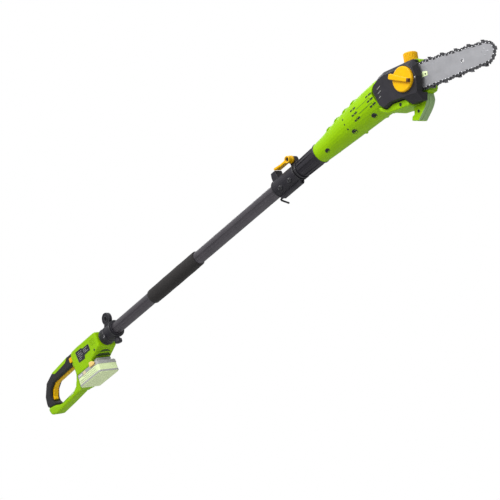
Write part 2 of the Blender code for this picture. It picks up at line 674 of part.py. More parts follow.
# ---- clamp ------------------------------------------------------------------
CLAMP = (CLAMP_X, 0.0, 0.0)
clamp_r = TUBE_RADIUS + CLAMP_THICK
clamp = turned("clamp_body", [(0.0, clamp_r - 0.0012), (0.003, clamp_r), (0.082, clamp_r),
                              (CLAMP_LENGTH, clamp_r - 0.0040)], "X", "dark", count=24, at=CLAMP)
LEVER_X, LEVER_Z = 0.077, clamp_r + 0.0158
clamp_block = prism("clamp_block", mm((1, 12), (22, 12), (22, LEVER_Z / MM + 1.5), (19, LEVER_Z / MM + 2.5),
                                      (4, LEVER_Z / MM + 2.5), (1, 30)), -0.0115, 0.0115, None,
                    edge_0=0.0015, edge_1=0.0015, at=CLAMP)
ear = prism("clamp_ear", fillet([(LEVER_X - 0.011, 0.012), (LEVER_X + 0.011, 0.012),
                                 (LEVER_X + 0.010, LEVER_Z + 0.0075),
                                 (LEVER_X - 0.010, LEVER_Z + 0.0075)], 0.0085, 4),
            0.0003, 0.0135, None, edge_1=0.002, at=CLAMP)
keel = prism("clamp_keel", mm((2, -15), (84, -15), (84, -clamp_r / MM - 2), (80, -clamp_r / MM - 6.4),
                              (6, -clamp_r / MM - 6.4), (2, -clamp_r / MM - 2)), -0.0075, 0.0075,
             None, edge_0=0.0015, edge_1=0.0015, at=CLAMP)
join(clamp, clamp_block, ear, keel)
outer_bore = turned("clamp_bore_outer", [(-0.01, TUBE_RADIUS + FIT),
                                         (TUBE_END - CLAMP_X + 0.0005, TUBE_RADIUS + FIT)],
                    "X", None, count=24, at=CLAMP)
inner_bore = turned("clamp_bore_inner", [(-0.01, INNER_RADIUS + FIT),
                                         (CLAMP_LENGTH + 0.01, INNER_RADIUS + FIT)], "X", None,
                    count=24, at=CLAMP)
slit = boxes("clamp_slit", [((0.030, -0.0010, 0.010), (CLAMP_LENGTH + 0.01, 0.0002, clamp_r + 0.01))],
             at=CLAMP)
hub_room = prism("clamp_hub_room", circle(0.0098, 20, LEVER_X, LEVER_Z), -0.030, 0.0002, None,
                 at=CLAMP)
key_hole = turned("clamp_key_hole", [(-0.01, 0.0031), (0.10, 0.0031)], "X", None, count=16,
                  at=shifted(CLAMP, z=-clamp_r - 0.0028))
pin_hole = prism("clamp_pin_hole", circle(0.0026, 14, LEVER_X, LEVER_Z), -0.02, 0.03, None,
                 at=CLAMP)
cut(clamp, outer_bore, inner_bore, slit, hub_room, key_hole, pin_hole)
BOLT_ANGLE = math.radians(202)
for index, x in enumerate((0.026, 0.062)):
    spot_y = clamp_r * math.cos(BOLT_ANGLE)
    hole = turned(f"clamp_bolt_hole_{index}", [(spot_y - 0.01, 0.0022), (spot_y + 0.0042, 0.0022)],
                  "Y", None, count=12, at=shifted(CLAMP, x=x, z=clamp_r * math.sin(BOLT_ANGLE)))
    spot = turned(f"clamp_bolt_spot_{index}", [(spot_y - 0.01, 0.0052), (spot_y + 0.0012, 0.0052)],
                  "Y", None, count=16, at=shifted(CLAMP, x=x, z=clamp_r * math.sin(BOLT_ANGLE)))
    cut(clamp, hole, spot)
    turned(f"clamp_bolt_{index + 1}", [(spot_y - 0.0028, 0.0), (spot_y - 0.0028, 0.0020),
                                       (spot_y - 0.0018, 0.0040), (spot_y + 0.0009, 0.0046),
                                       (spot_y + 0.0009, 0.0019), (spot_y + 0.0039, 0.0019),
                                       (spot_y + 0.0039, 0.0)], "Y", "dark", count=16,
           at=shifted(CLAMP, x=x, z=clamp_r * math.sin(BOLT_ANGLE)))
LEVER = shifted(CLAMP, x=LEVER_X, z=LEVER_Z)
lever = prism("cam_lever", circle(0.0090, 24), -0.0170, -0.0003, "yellow", edge_0=0.0008, at=LEVER)
lever_arm = prism("cam_lever_arm", fillet(mm((0, 6.5), (-14, 4.0), (-34, 3.2), (-52, 5.0), (-53, 1.0),
                                             (-46, -2.6), (-14, -2.6), (-2, -8)), 0.002, 2),
                  -0.0150, -0.0012, None, edge_0=0.0015, at=LEVER)
lever_hole = prism("cam_lever_hole", circle(0.0029, 16), -0.03, 0.03, None, at=LEVER)
lever_dish = prism("cam_lever_dish", circle(0.0058, 16), -0.03, -0.0145, None, at=LEVER)
join(lever, lever_arm)
cut(lever, lever_hole, lever_dish)
turned("lever_pin", [(-0.0142, 0.0048), (-0.0128, 0.0048), (-0.0128, 0.0023), (0.0138, 0.0023),
                     (0.0138, 0.0045), (0.0155, 0.0045)], "Y", "steel", count=16, at=LEVER)
dish_floor = prism("cam_lever_seat", circle(0.0052, 16), -0.03, -0.0125, None, at=LEVER)
cut(lever, dish_floor)

# The hex key: a bent hexagonal rod, the long arm along the pole.
KEY = shifted(CLAMP, z=-clamp_r - 0.0028)
key_rings = []
for k in range(5):
    turn = math.radians(22.5) * k
    centre = (-0.0030 - 0.0045 * math.sin(turn), 0.0045 * (1 - math.cos(turn)))
    ring = []
    for j in range(6):
        angle = math.radians(60 * j)
        u = 0.0024 * math.cos(angle)
        v = 0.0024 * math.sin(angle)
        ring.append((centre[0] + u * math.sin(turn), centre[1] + u * math.cos(turn), v))
    key_rings.append(ring)
first = [(0.066, y, z) for x, y, z in key_rings[0]]
last_ring = [(x, y + 0.022, z) for x, y, z in key_rings[-1]]
lean = math.radians(-20)
key_rings = [first] + key_rings + [last_ring]
key_rings = [[(x, y * math.cos(lean) - z * math.sin(lean), y * math.sin(lean) + z * math.cos(lean))
              for x, y, z in ring] for ring in key_rings]
loft("hex_key", key_rings, "steel", at=KEY)

# ---- sleeve and head shells -------------------------------------------------
SLEEVE = (SLEEVE_X, 0.0, 0.0)
sleeve_r0, sleeve_r1 = TUBE_RADIUS + 0.0030, TUBE_RADIUS + 0.0070
neck_r = TUBE_RADIUS + 0.0030
turned("head_sleeve", [
    (0.0, INNER_RADIUS + FIT), (0.0, sleeve_r0 - 0.0006), (0.006, sleeve_r0),
    (SLEEVE_LENGTH - 0.001, sleeve_r1), (SLEEVE_LENGTH - 0.001, neck_r),
    (SLEEVE_LENGTH + SLEEVE_NECK, neck_r), (SLEEVE_LENGTH + SLEEVE_NECK, INNER_RADIUS + FIT)],
    "X", "dark", closed=True, count=24, at=SLEEVE)

# Stations along the lime housing: distance from the joint, radius, height.
STATIONS = (
    (0.0000, sleeve_r1 + 0.0006, 0.0000), (0.0380, 0.0278, 0.0004), (0.0960, 0.0332, 0.0030),
    (0.1530, 0.0370, 0.0042), (0.2080, 0.0395, 0.0042), (0.2440, 0.0414, 0.0028),
    (0.2690, 0.0414, -0.0012), (0.2940, 0.0380, -0.0065), (0.3100, 0.0300, -0.0105))
ARC = 14
TRAY = mm((-46, -10), (-34, -42), (-12, -55), (72, -57), (72, -28), (89, -28), (89, 38),
          (80, 43.5), (-6, 39.5), (-26, 32), (-44, 14))
COVER_BASE = mm((-43, -5), (-40, 14), (-24, 29), (-6, 35.5), (82, 40.5), (94, 28), (101, -3),
                (96, -36), (92, -53), (62, -55), (48, -41), (12, -41), (-9, -49), (-25, -41))
COVER_TOP = mm((-33, -3), (-30, 8), (-16, 19), (2, 24.5), (80, 26), (90, 20), (96.5, -3),
               (93, -33), (89.5, -37), (62, -36), (50, -37), (11, -37), (-8, -44), (-20, -37))
LEDGE = mm((-36, -38), (-9, -44), (12, -37), (50, -37), (58, -56), (-10, -57), (-30, -49))
HEAD_SCREWS = ((0.039, -0.0175), (0.136, -0.0255), (0.208, -0.0280))


def housing_rings(shrink, side):
    """Half rings of the lime housing, from top to bottom on one side."""
    rings = []
    for along, radius, rise in STATIONS:
        ring = []
        for k in range(ARC + 1):
            angle = math.pi * k / ARC
            ring.append((along, side * max((radius - shrink) * math.sin(angle), FIT / 2),
                         rise + (radius - shrink) * math.cos(angle)))
        rings.append(ring)
    return rings


def full_rings(shrink, stations):
    rings = []
    for along, radius, rise in stations:
        ring = []
        for k in range(24):
            angle = 2 * math.pi * k / 24
            ring.append((along, (radius - shrink) * math.sin(angle),
                         rise + (radius - shrink) * math.cos(angle)))
        rings.append(ring)
    return rings


JOINT = (JOINT_X, 0.0, 0.0)
CAVITY_END = (0.2350, 0.0412, 0.0030)
cone_room = loft("cone_room", full_rings(WALL, ((0.0245, 0.0268, 0.0003),) + STATIONS[1:5]
                                         + (CAVITY_END,)), None, at=JOINT)
tray_room = prism("tray_room", offset(TRAY, -WALL), PLATE_FACE + WALL, CHASSIS_RIGHT - WALL, None,
                  corner=0.004, at=HEAD, tilt=HEAD_TILT)
cone_link = turned("cone_link", [(0.2200, 0.0335), (CONE_LENGTH - 0.0145, 0.0300)], "X", None,
                   count=24, at=JOINT)
link_keep = boxes("cone_link_keep", [((0.20, -0.06, -0.06), (CONE_LENGTH + 0.02, PLATE_FACE + WALL, 0.06))],
                  at=JOINT)
cut(cone_link, link_keep)
sleeve_room = turned("sleeve_room", [(-0.01, neck_r + FIT), (SLEEVE_NECK + 0.0003, neck_r + FIT)],
                     "X", None, count=32, at=JOINT)
cover_room = prism("cover_room", offset(COVER_BASE, 0.0006), -0.08, PLATE_FACE, None, at=HEAD,
                   tilt=HEAD_TILT)
cap_hole = turned("cap_hole", [(0.030, 0.0134), (0.060, 0.0134)], "Z", None, count=24,
                  at=shifted(HEAD, x=CAP_A, y=CAP_Y, tilt=HEAD_TILT), tilt=HEAD_TILT)
shaft_hole = turned("shaft_hole", [(-0.03, 0.0050), (0.0, 0.0050)], "Y", None, count=20, at=HEAD)
stud_hole = turned("stud_hole", [(-0.03, 0.0043), (0.0, 0.0043)], "Y", None, count=16,
                   at=shifted(HEAD, x=STUD_A, tilt=HEAD_TILT))
vent_sizes = []
for along in (0.168, 0.228):
    for row, z in enumerate((0.012, 0.0, -0.012)):
        for step in range(2):
            x = along + step * 0.006 - row * 0.001
            vent_sizes.append(((x, -0.06, z - 0.003), (x + 0.0022, 0.06, z + 0.003)))
vents = boxes("vents", vent_sizes, at=JOINT)


def head_half(name, side):
    shell = loft(name, housing_rings(0.0, side), "lime", at=JOINT, smooth=True)
    if side < 0:
        tray = prism(name + "_tray", TRAY, PLATE_FACE, -FIT / 2, None, corner=0.005, at=HEAD,
                     tilt=HEAD_TILT)
        ledge = prism(name + "_ledge", LEDGE, -0.0345, PLATE_FACE + 0.001, None, edge_0=0.003,
                      corner=0.004, at=HEAD, tilt=HEAD_TILT)
        join(shell, tray, ledge)
    else:
        tray = prism(name + "_tray", TRAY, FIT / 2, CHASSIS_RIGHT, None, edge_1=0.005, corner=0.006,
                     at=HEAD, tilt=HEAD_TILT)
        join(shell, tray)
    cut(shell, cone_room, tray_room, cone_link)
    for index, (x, z) in enumerate(HEAD_SCREWS):
        ends = sorted((side * FIT / 2, side * 0.0200))
        boss = prism(f"{name}_boss_{index}", circle(0.0044, 8, x, z), *ends, None, at=JOINT)
        join(shell, boss)
        if side < 0:
            recess = prism(f"{name}_recess_{index}", circle(0.0034, 8, x, z), -0.06, -0.0120,
                           None, at=JOINT)
            cut(shell, recess)
        hole = prism(f"{name}_hole_{index}", circle(0.0016, 6, x, z),
                     *((-0.05, 0.01) if side < 0 else (-0.01, 0.0150)), None, at=JOINT)
        cut(shell, hole)
    cut(shell, sleeve_room, cap_hole, vents)
    if side < 0:
        cut(shell, cover_room, shaft_hole, stud_hole)
    return shell


head_half("head_shell_left", -1)
head_half("head_shell_right", 1)
for index, (x, z) in enumerate(HEAD_SCREWS):
    turned(f"head_screw_{index + 1}", [(-0.0148, 0.0030), (-0.0124, 0.0030), (-0.0124, 0.0013),
                                       (0.0120, 0.0013)], "Y", "steel", count=8,
           at=shifted(JOINT, x=x, z=z))

# ---- motor and gears --------------------------------------------------------
MOTOR_X = 0.1560
motor = (JOINT_X + MOTOR_X, 0.0, 0.0)
turned("motor_can", [(0.0, 0.0040), (0.0, MOTOR_RADIUS - 0.001), (0.001, MOTOR_RADIUS),
                     (MOTOR_LENGTH, MOTOR_RADIUS), (MOTOR_LENGTH, MOTOR_RADIUS - 0.0030),
                     (0.0015, MOTOR_RADIUS - 0.0030), (0.0015, 0.0040)], "X", "steel",
       closed=True, count=20, at=motor)
turned("motor_mount", [(MOTOR_LENGTH + FIT, 0.0036), (MOTOR_LENGTH + FIT, 0.0290),
                       (MOTOR_LENGTH + 0.0035, 0.0290), (MOTOR_LENGTH + 0.0035, 0.0036)], "X",
       "dark", closed=True, count=20, at=motor)
PINION_BACK = CONE_LENGTH - MOTOR_X - GEAR_RADIUS - 0.0006
turned("rotor", [(-0.004, 0.0), (-0.004, 0.0026), (0.006, 0.0026), (0.006, MOTOR_RADIUS - 0.0050),
                 (0.060, MOTOR_RADIUS - 0.0050), (0.060, 0.0026), (PINION_BACK - 0.003, 0.0026),
                 (PINION_BACK - 0.003, 0.0070), (PINION_BACK, PINION_RADIUS - 0.0008),
                 (PINION_BACK + 0.0075, (PINION_RADIUS - 0.0008) * 0.62),
                 (PINION_BACK + 0.0075, 0.0)], "X", "copper", count=18, at=motor,
       teeth={8: PINION_RADIUS - 0.0025, 9: (PINION_RADIUS - 0.0025) * 0.62})
GEAR_BACK = PINION_RADIUS + 0.0008
turned("drive_shaft", [
    (-0.0285, 0.0), (-0.0285, SHAFT_RADIUS), (GEAR_BACK - 0.0042, SHAFT_RADIUS),
    (GEAR_BACK - 0.0042, (GEAR_RADIUS - 0.0008) * 0.62), (GEAR_BACK, GEAR_RADIUS - 0.0008),
    (GEAR_BACK + 0.003, GEAR_RADIUS - 0.0025), (GEAR_BACK + 0.003, SHAFT_RADIUS),
    (0.0205, SHAFT_RADIUS), (0.0205, 0.0)], "Y", "steel", count=36, at=HEAD, tilt=0.0,
    teeth={3: (GEAR_RADIUS - 0.0025) * 0.62, 4: GEAR_RADIUS - 0.0025})
CASE_R = 0.0245
CASE_FLOOR = PLATE_FACE + WALL + FIT
case = turned("gear_case", [
    (CASE_FLOOR, 0.0063), (CASE_FLOOR, CASE_R), (0.0160, CASE_R), (0.0160, CASE_R - 0.0018),
    (CASE_FLOOR + 0.0048, CASE_R - 0.0018), (CASE_FLOOR + 0.0048, 0.0063)], "Y", "steel",
    closed=True, count=20, at=HEAD)
case_window = turned("gear_case_window", [(-0.035, 0.0108), (-0.012, 0.0108)], "X", None, count=14,
                     at=HEAD)
cut(case, case_window)
turned("gear_case_lid", [(0.0163, 0.0063), (0.0163, CASE_R), (0.0205, CASE_R), (0.0205, 0.0063)],
       "Y", "steel", closed=True, count=20, at=HEAD)
for label, y in (("left", CASE_FLOOR + 0.0002), ("right", 0.0162)):
    tube_of(f"shaft_bearing_{label}", y, y + 0.0042, SHAFT_RADIUS + FIT, 0.0060, "Y", "steel",
            count=12, at=HEAD)
turned("sprocket", [
    (BAR_PLANE - 0.0050, SHAFT_RADIUS + FIT), (BAR_PLANE - 0.0050, 0.0062),
    (BAR_PLANE - 0.0012, 0.0062), (BAR_PLANE - 0.0012, SPROCKET_TIP),
    (BAR_PLANE + 0.0012, SPROCKET_TIP), (BAR_PLANE + 0.0012, 0.0062),
    (BAR_PLANE + 0.0060, 0.0062), (BAR_PLANE + 0.0060, SHAFT_RADIUS + FIT)], "Y", "steel",
    closed=True, count=14, teeth={3: 0.0082, 4: 0.0082}, at=HEAD)

# ---- bar, chain and cover ---------------------------------------------------
def head(name, builder, *args, **options):
    return builder(name, *args, at=HEAD, tilt=HEAD_TILT, **options)


BAR = belt(((TAIL_A, TAIL_RADIUS), (BELLY_A, BELLY_RADIUS), (NOSE_A, NOSE_RADIUS)), 60)
half_bar = BAR_THICK / 2
bar = head("guide_bar", loft, [
    at_y(BAR, BAR_PLANE - half_bar), at_y(BAR, BAR_PLANE - BAR_GROOVE / 2),
    at_y(offset(BAR, -GROOVE_DEEP), BAR_PLANE - BAR_GROOVE / 2),
    at_y(offset(BAR, -GROOVE_DEEP), BAR_PLANE + BAR_GROOVE / 2),
    at_y(BAR, BAR_PLANE + BAR_GROOVE / 2), at_y(BAR, BAR_PLANE + half_bar)], "steel")
bar_slot = head("bar_slot", prism, fillet(rectangle(0.050, 0.080, -0.0046, 0.0046), 0.0044, 4),
                -0.03, -0.01, None)
bar_hole = head("bar_hole", prism, circle(0.0036, 14, 0.211, 0.0), -0.03, -0.01, None)
cut(bar, bar_slot, bar_hole)

CHAIN_WHEELS = ((0.0, SPROCKET_PATH), (BELLY_A, BELLY_RADIUS), (NOSE_A, NOSE_RADIUS))
path_length = 2 * math.hypot(NOSE_A, 0.0) + math.pi * (SPROCKET_PATH + NOSE_RADIUS)
links = round(path_length / CHAIN_PITCH)
PATH = belt(CHAIN_WHEELS, links * 3)
rail_top = []
low = offset(PATH, 0.0042)
high = offset(PATH, 0.0068)
for k in range(len(PATH)):
    rail_top.append(high[k] if k % 3 == 1 else low[k])
tang = offset(PATH, -0.0050)
seat = offset(PATH, 0.0004)
half_chain = CHAIN_WIDTH / 2
half_tang = CHAIN_TANG / 2
head("saw_chain", loft, [
    at_y(tang, BAR_PLANE - half_tang), at_y(seat, BAR_PLANE - half_tang),
    at_y(seat, BAR_PLANE - half_chain), at_y(rail_top, BAR_PLANE - half_chain),
    at_y(rail_top, BAR_PLANE + half_chain), at_y(seat, BAR_PLANE + half_chain),
    at_y(seat, BAR_PLANE + half_tang), at_y(tang, BAR_PLANE + half_tang)], "chain", closed=True)

base_in = offset(COVER_BASE, -WALL)
top_in = offset(COVER_TOP, -WALL)
cover = head("sprocket_cover", loft, [
    at_y(top_in, COVER_FACE + WALL), at_y(base_in, COVER_STEP + 0.0006),
    at_y(base_in, COVER_BACK), at_y(COVER_BASE, COVER_BACK), at_y(COVER_BASE, COVER_STEP),
    at_y(COVER_TOP, COVER_FACE)], "dark")
mouth = head("cover_mouth", boxes, [
    ((0.084, BAR_PLANE - 0.0085, -0.0365), (0.14, 0.0, 0.0375))])
knob_seat = head("cover_knob_hole", prism, circle(0.0052, 16, STUD_A, 0.0), -0.06, -0.03, None)
cut(cover, mouth, knob_seat)
STUD = shifted(HEAD, x=STUD_A, tilt=HEAD_TILT)
turned("bar_stud", [(COVER_FACE - 0.0060, 0.0), (COVER_FACE - 0.0060, 0.0039),
                    (PLATE_FACE + WALL + FIT, 0.0039), (PLATE_FACE + WALL + FIT, 0.0070),
                    (PLATE_FACE + WALL + 0.0030, 0.0070), (PLATE_FACE + WALL + 0.0030, 0.0)],
       "Y", "steel", count=16, at=STUD)
knob = turned("cover_knob", [
    (COVER_FACE - 0.0075, 0.0), (COVER_FACE - 0.0075, KNOB_RADIUS - 0.0020),
    (COVER_FACE - 0.0058, KNOB_RADIUS), (COVER_FACE - FIT, KNOB_RADIUS), (COVER_FACE - FIT, 0.0)],
    "Y", "yellow", count=32, at=STUD)
KNOB_TURN = math.radians(20)
knob_grip = prism("cover_knob_grip",
                  fillet(mm((-33.5, 7.0), (-30, 9.0), (25, 3.8), (26, -4.8), (-30, -4.0),
                            (-33.5, -3.0)), 0.002, 2),
                  COVER_FACE - 0.0150, COVER_FACE - 0.0035, None, edge_0=0.0015, at=STUD,
                  tilt=HEAD_TILT + KNOB_TURN)
knob_bore = turned("cover_knob_bore", [(COVER_FACE - 0.0064, 0.0042), (COVER_FACE + 0.01, 0.0042)],
                   "Y", None, count=16, at=STUD)
join(knob, knob_grip)
cut(knob, knob_bore)

# ---- oil tank, oil cap and branch hook --------------------------------------
tank = head("oil_tank", prism, fillet(rectangle(0.031, 0.084, 0.012, 0.0375), 0.004, 2),
            PLATE_FACE + WALL + 0.0004, CHASSIS_RIGHT - WALL - 0.0010, "tank")
CAP_AT = shifted(HEAD, x=CAP_A, y=CAP_Y, tilt=HEAD_TILT)
neck = turned("oil_neck", [(0.036, 0.0128), (0.0560, 0.0128)], "Z", None, count=24, at=CAP_AT,
              tilt=HEAD_TILT)
tank_room = head("oil_tank_room", prism, fillet(rectangle(0.033, 0.082, 0.014, 0.0355), 0.003, 2),
                 PLATE_FACE + WALL + 0.0024, CHASSIS_RIGHT - WALL - 0.0030, None)
neck_bore = turned("oil_neck_bore", [(0.034, 0.0110), (0.0600, 0.0110)], "Z", None, count=24,
                   at=CAP_AT, tilt=HEAD_TILT)
join(tank, neck)
cut(tank, tank_room, neck_bore)
turned("oil_cap", [(0.0440, 0.0131), (0.0440, CAP_RADIUS), (0.0640, CAP_RADIUS),
                   (0.0660, CAP_RADIUS - 0.0015), (0.0660, 0.0), (0.0563, 0.0),
                   (0.0563, 0.0131)], "Z", "yellow",
       count=32, closed=True, teeth={1: CAP_RADIUS - 0.0008, 2: CAP_RADIUS - 0.0008},
       at=CAP_AT, tilt=HEAD_TILT)
HOOK = mm((88.5, -32), (90, -51), (81.5, -66), (67, -81), (57.5, -90.5), (39, -86),
                 (42, -77), (48.5, -74), (50.5, -57.4), (72.4, -57.4), (72.4, -38), (79, -32))
hook = head("branch_hook", prism, HOOK, HOOK_NEAR, HOOK_FAR, "lime", edge_0=0.0012, edge_1=0.0012,
            corner=0.002)
flange = head("hook_flange", prism, mm((79, -31), (100, -31), (100, -33.5), (86, -37),
                                       (79, -37)), HOOK_NEAR, HOOK_FAR, None)
hook_hole = head("hook_hole", prism, circle(0.0034, 12, 0.0625, -0.0700), -0.03, -0.0100, None)
hook_bore = head("hook_bore", prism, circle(0.0016, 10, 0.0625, -0.0700), -0.03, 0.0095, None)
join(hook, flange)
cut(hook, hook_hole, hook_bore)
turned("hook_screw", [(-0.0135, 0.0030), (-0.0104, 0.0030), (-0.0104, 0.0013), (0.0080, 0.0013)],
       "Y", "steel", count=12, at=shifted(HEAD, x=0.0625, z=-0.0700, tilt=HEAD_TILT))
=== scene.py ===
"""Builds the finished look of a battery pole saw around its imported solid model.

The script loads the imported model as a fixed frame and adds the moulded, turned and
stamped pieces that give each sub-assembly its surface. Every sub-assembly is a class
with its own sizes, and main() builds them from the rear handle to the saw chain.
"""

import json
import logging
import math
from dataclasses import dataclass, field
from enum import Enum
from typing import Iterable, Optional, Sequence

import bmesh
import bpy
from mathutils import Matrix, Vector

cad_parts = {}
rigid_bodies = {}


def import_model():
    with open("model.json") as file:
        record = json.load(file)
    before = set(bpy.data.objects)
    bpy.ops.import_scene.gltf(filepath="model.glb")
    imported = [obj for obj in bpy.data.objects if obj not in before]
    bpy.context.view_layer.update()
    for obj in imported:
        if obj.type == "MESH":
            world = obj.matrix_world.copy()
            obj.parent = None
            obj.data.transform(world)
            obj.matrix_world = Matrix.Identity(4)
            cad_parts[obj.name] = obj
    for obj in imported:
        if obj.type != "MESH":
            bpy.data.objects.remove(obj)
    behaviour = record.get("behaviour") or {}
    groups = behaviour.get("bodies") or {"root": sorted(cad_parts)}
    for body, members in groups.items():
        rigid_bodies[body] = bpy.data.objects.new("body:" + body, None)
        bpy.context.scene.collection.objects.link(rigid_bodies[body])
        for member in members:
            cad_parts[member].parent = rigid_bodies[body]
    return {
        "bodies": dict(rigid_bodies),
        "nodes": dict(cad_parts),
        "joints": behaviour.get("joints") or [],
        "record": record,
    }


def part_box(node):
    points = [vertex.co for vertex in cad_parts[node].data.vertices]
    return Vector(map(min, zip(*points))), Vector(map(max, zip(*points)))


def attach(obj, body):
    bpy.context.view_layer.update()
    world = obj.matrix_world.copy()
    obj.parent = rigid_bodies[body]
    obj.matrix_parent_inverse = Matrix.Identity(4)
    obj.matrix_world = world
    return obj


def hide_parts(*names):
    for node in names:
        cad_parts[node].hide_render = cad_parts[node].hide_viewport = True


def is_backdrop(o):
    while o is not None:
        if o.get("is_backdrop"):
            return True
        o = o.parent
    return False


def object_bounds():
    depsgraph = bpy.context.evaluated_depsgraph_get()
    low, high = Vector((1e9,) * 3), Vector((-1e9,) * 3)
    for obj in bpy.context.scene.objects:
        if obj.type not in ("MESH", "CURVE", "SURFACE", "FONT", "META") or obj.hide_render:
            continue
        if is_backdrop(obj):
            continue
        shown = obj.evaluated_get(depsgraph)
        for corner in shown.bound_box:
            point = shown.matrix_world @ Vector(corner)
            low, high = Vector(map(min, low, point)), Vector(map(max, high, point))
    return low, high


LOG = logging.getLogger("pole_saw")
MM = 0.001

Colour = tuple[float, float, float]
Point = tuple[float, float, float]


class Slot(Enum):
    """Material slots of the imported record."""

    LIME = "lime_plastic"
    BLACK = "black_plastic"
    GREY = "grey_plastic"
    YELLOW = "yellow_plastic"
    PALE_GREEN = "pale_green_plastic"
    TANK = "tank_plastic"
    RUBBER = "soft_rubber"
    FOAM = "foam"
    TUBE = "tube_metal"
    STEEL = "steel"
    BAR = "bar_steel"
    CHAIN = "chain_steel"
    CAST = "cast_alloy"
    BRASS = "brass_contacts"
    BOARD = "board_green"
    CELLS = "cell_wrap"


class Body(Enum):
    """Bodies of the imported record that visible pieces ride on."""

    HANDLE = "handle"
    TRIGGER = "trigger"
    LOCK = "lock_button"
    BATTERY = "battery"
    LATCH_LEFT = "latch_left"
    LATCH_RIGHT = "latch_right"
    COLLAR_KNOB = "collar_knob"
    CAM = "cam_lever"
    HEAD = "head"
    OIL_CAP = "oil_cap"
    COVER_KNOB = "cover_knob"
    BAR = "bar"


class GrainKind(Enum):
    """How the fine relief of a surface is patterned."""

    SPARK = "spark-eroded mould texture"
    STIPPLE = "raised round dots"
    BRUSHED = "long fine scratches"
    CELLULAR = "open foam cells"
    CAST = "soft lumps of a die casting"


# --------------------------------------------------------------------------
# Finishes
# --------------------------------------------------------------------------
class Graph:
    """A short way to write a material's node tree."""

    def __init__(self, material: bpy.types.Material) -> None:
        """Clears the tree and adds the output and its shader.

        Args:
            material: the material whose tree is written.
        """
        material.use_nodes = True
        self.tree = material.node_tree
        self.tree.nodes.clear()
        output = self.tree.nodes.new("ShaderNodeOutputMaterial")
        self.shader = self.tree.nodes.new("ShaderNodeBsdfPrincipled")
        self.tree.links.new(self.shader.outputs[0], output.inputs["Surface"])
        coordinates = self.tree.nodes.new("ShaderNodeTexCoord")
        self.place = coordinates.outputs["Object"]

    def node(self, kind: str, **settings: object) -> bpy.types.Node:
        """Adds one node.

        Args:
            kind: the node's type without its "ShaderNode" prefix.
            **settings: attributes set on the node.

        Returns:
            The new node.
        """
        made = self.tree.nodes.new("ShaderNode" + kind)
        for key, value in settings.items():
            setattr(made, key, value)
        return made

    def feed(self, target: bpy.types.NodeSocket, source: object) -> None:
        """Links a socket, or sets it where the source is a plain value.

        Args:
            target: the input socket.
            source: an output socket, a number or a colour.
        """
        if isinstance(source, bpy.types.NodeSocket):
            self.tree.links.new(source, target)
        else:
            target.default_value = source

    def noise(self, pitch: float, stretch: Point = (1, 1, 1), detail: float = 3,
              rough: float = 0.55) -> bpy.types.NodeSocket:
        """Fractal noise whose features are about a given size.

        Args:
            pitch: feature size in metres.
            stretch: how much longer features are along each axis.
            detail: number of octaves.
            rough: weight of the finer octaves.

        Returns:
            The noise value's socket.
        """
        mapping = self.node("Mapping")
        mapping.inputs["Scale"].default_value = [1 / (pitch * s) for s in stretch]
        self.feed(mapping.inputs["Vector"], self.place)
        noise = self.node("TexNoise", noise_dimensions="3D")
        noise.inputs["Scale"].default_value = 1.0
        noise.inputs["Detail"].default_value = detail
        noise.inputs["Roughness"].default_value = rough
        self.feed(noise.inputs["Vector"], mapping.outputs[0])
        return noise.outputs[0]

    def cells(self, pitch: float) -> bpy.types.NodeSocket:
        """Cell noise with cells of about a given size.

        Args:
            pitch: cell size in metres.

        Returns:
            The distance socket.
        """
        cells = self.node("TexVoronoi", feature="F1")
        cells.inputs["Scale"].default_value = 1 / pitch
        self.feed(cells.inputs["Vector"], self.place)
        return cells.outputs["Distance"]

    def maths(self, operation: str, a: object, b: object) -> bpy.types.NodeSocket:
        """One arithmetic step.

        Args:
            operation: Blender's name of the operation.
            a: first value or socket.
            b: second value or socket.

        Returns:
            The result's socket.
        """
        step = self.node("Math", operation=operation)
        self.feed(step.inputs[0], a)
        self.feed(step.inputs[1], b)
        return step.outputs[0]

    def span(self, value: object, low: float, high: float, to_low: float,
             to_high: float) -> bpy.types.NodeSocket:
        """Maps a range of values to another one and holds it there.

        Args:
            value: the socket to map.
            low: start of the range read.
            high: end of the range read.
            to_low: result at low.
            to_high: result at high.

        Returns:
            The mapped value's socket.
        """
        step = self.node("MapRange", clamp=True)
        for key, number in zip(("From Min", "From Max", "To Min", "To Max"),
                               (low, high, to_low, to_high)):
            step.inputs[key].default_value = number
        self.feed(step.inputs["Value"], value)
        return step.outputs[0]

    def mix(self, amount: object, first: object, second: object) -> bpy.types.NodeSocket:
        """Mixes two colours.

        Args:
            amount: share of the second colour.
            first: colour or socket.
            second: colour or socket.

        Returns:
            The mixed colour's socket.
        """
        step = self.node("Mix", data_type="RGBA")
        self.feed(step.inputs[0], amount)
        self.feed(step.inputs[6], first if isinstance(first, bpy.types.NodeSocket)
                  else (*first, 1.0))
        self.feed(step.inputs[7], second if isinstance(second, bpy.types.NodeSocket)
                  else (*second, 1.0))
        return step.outputs[2]


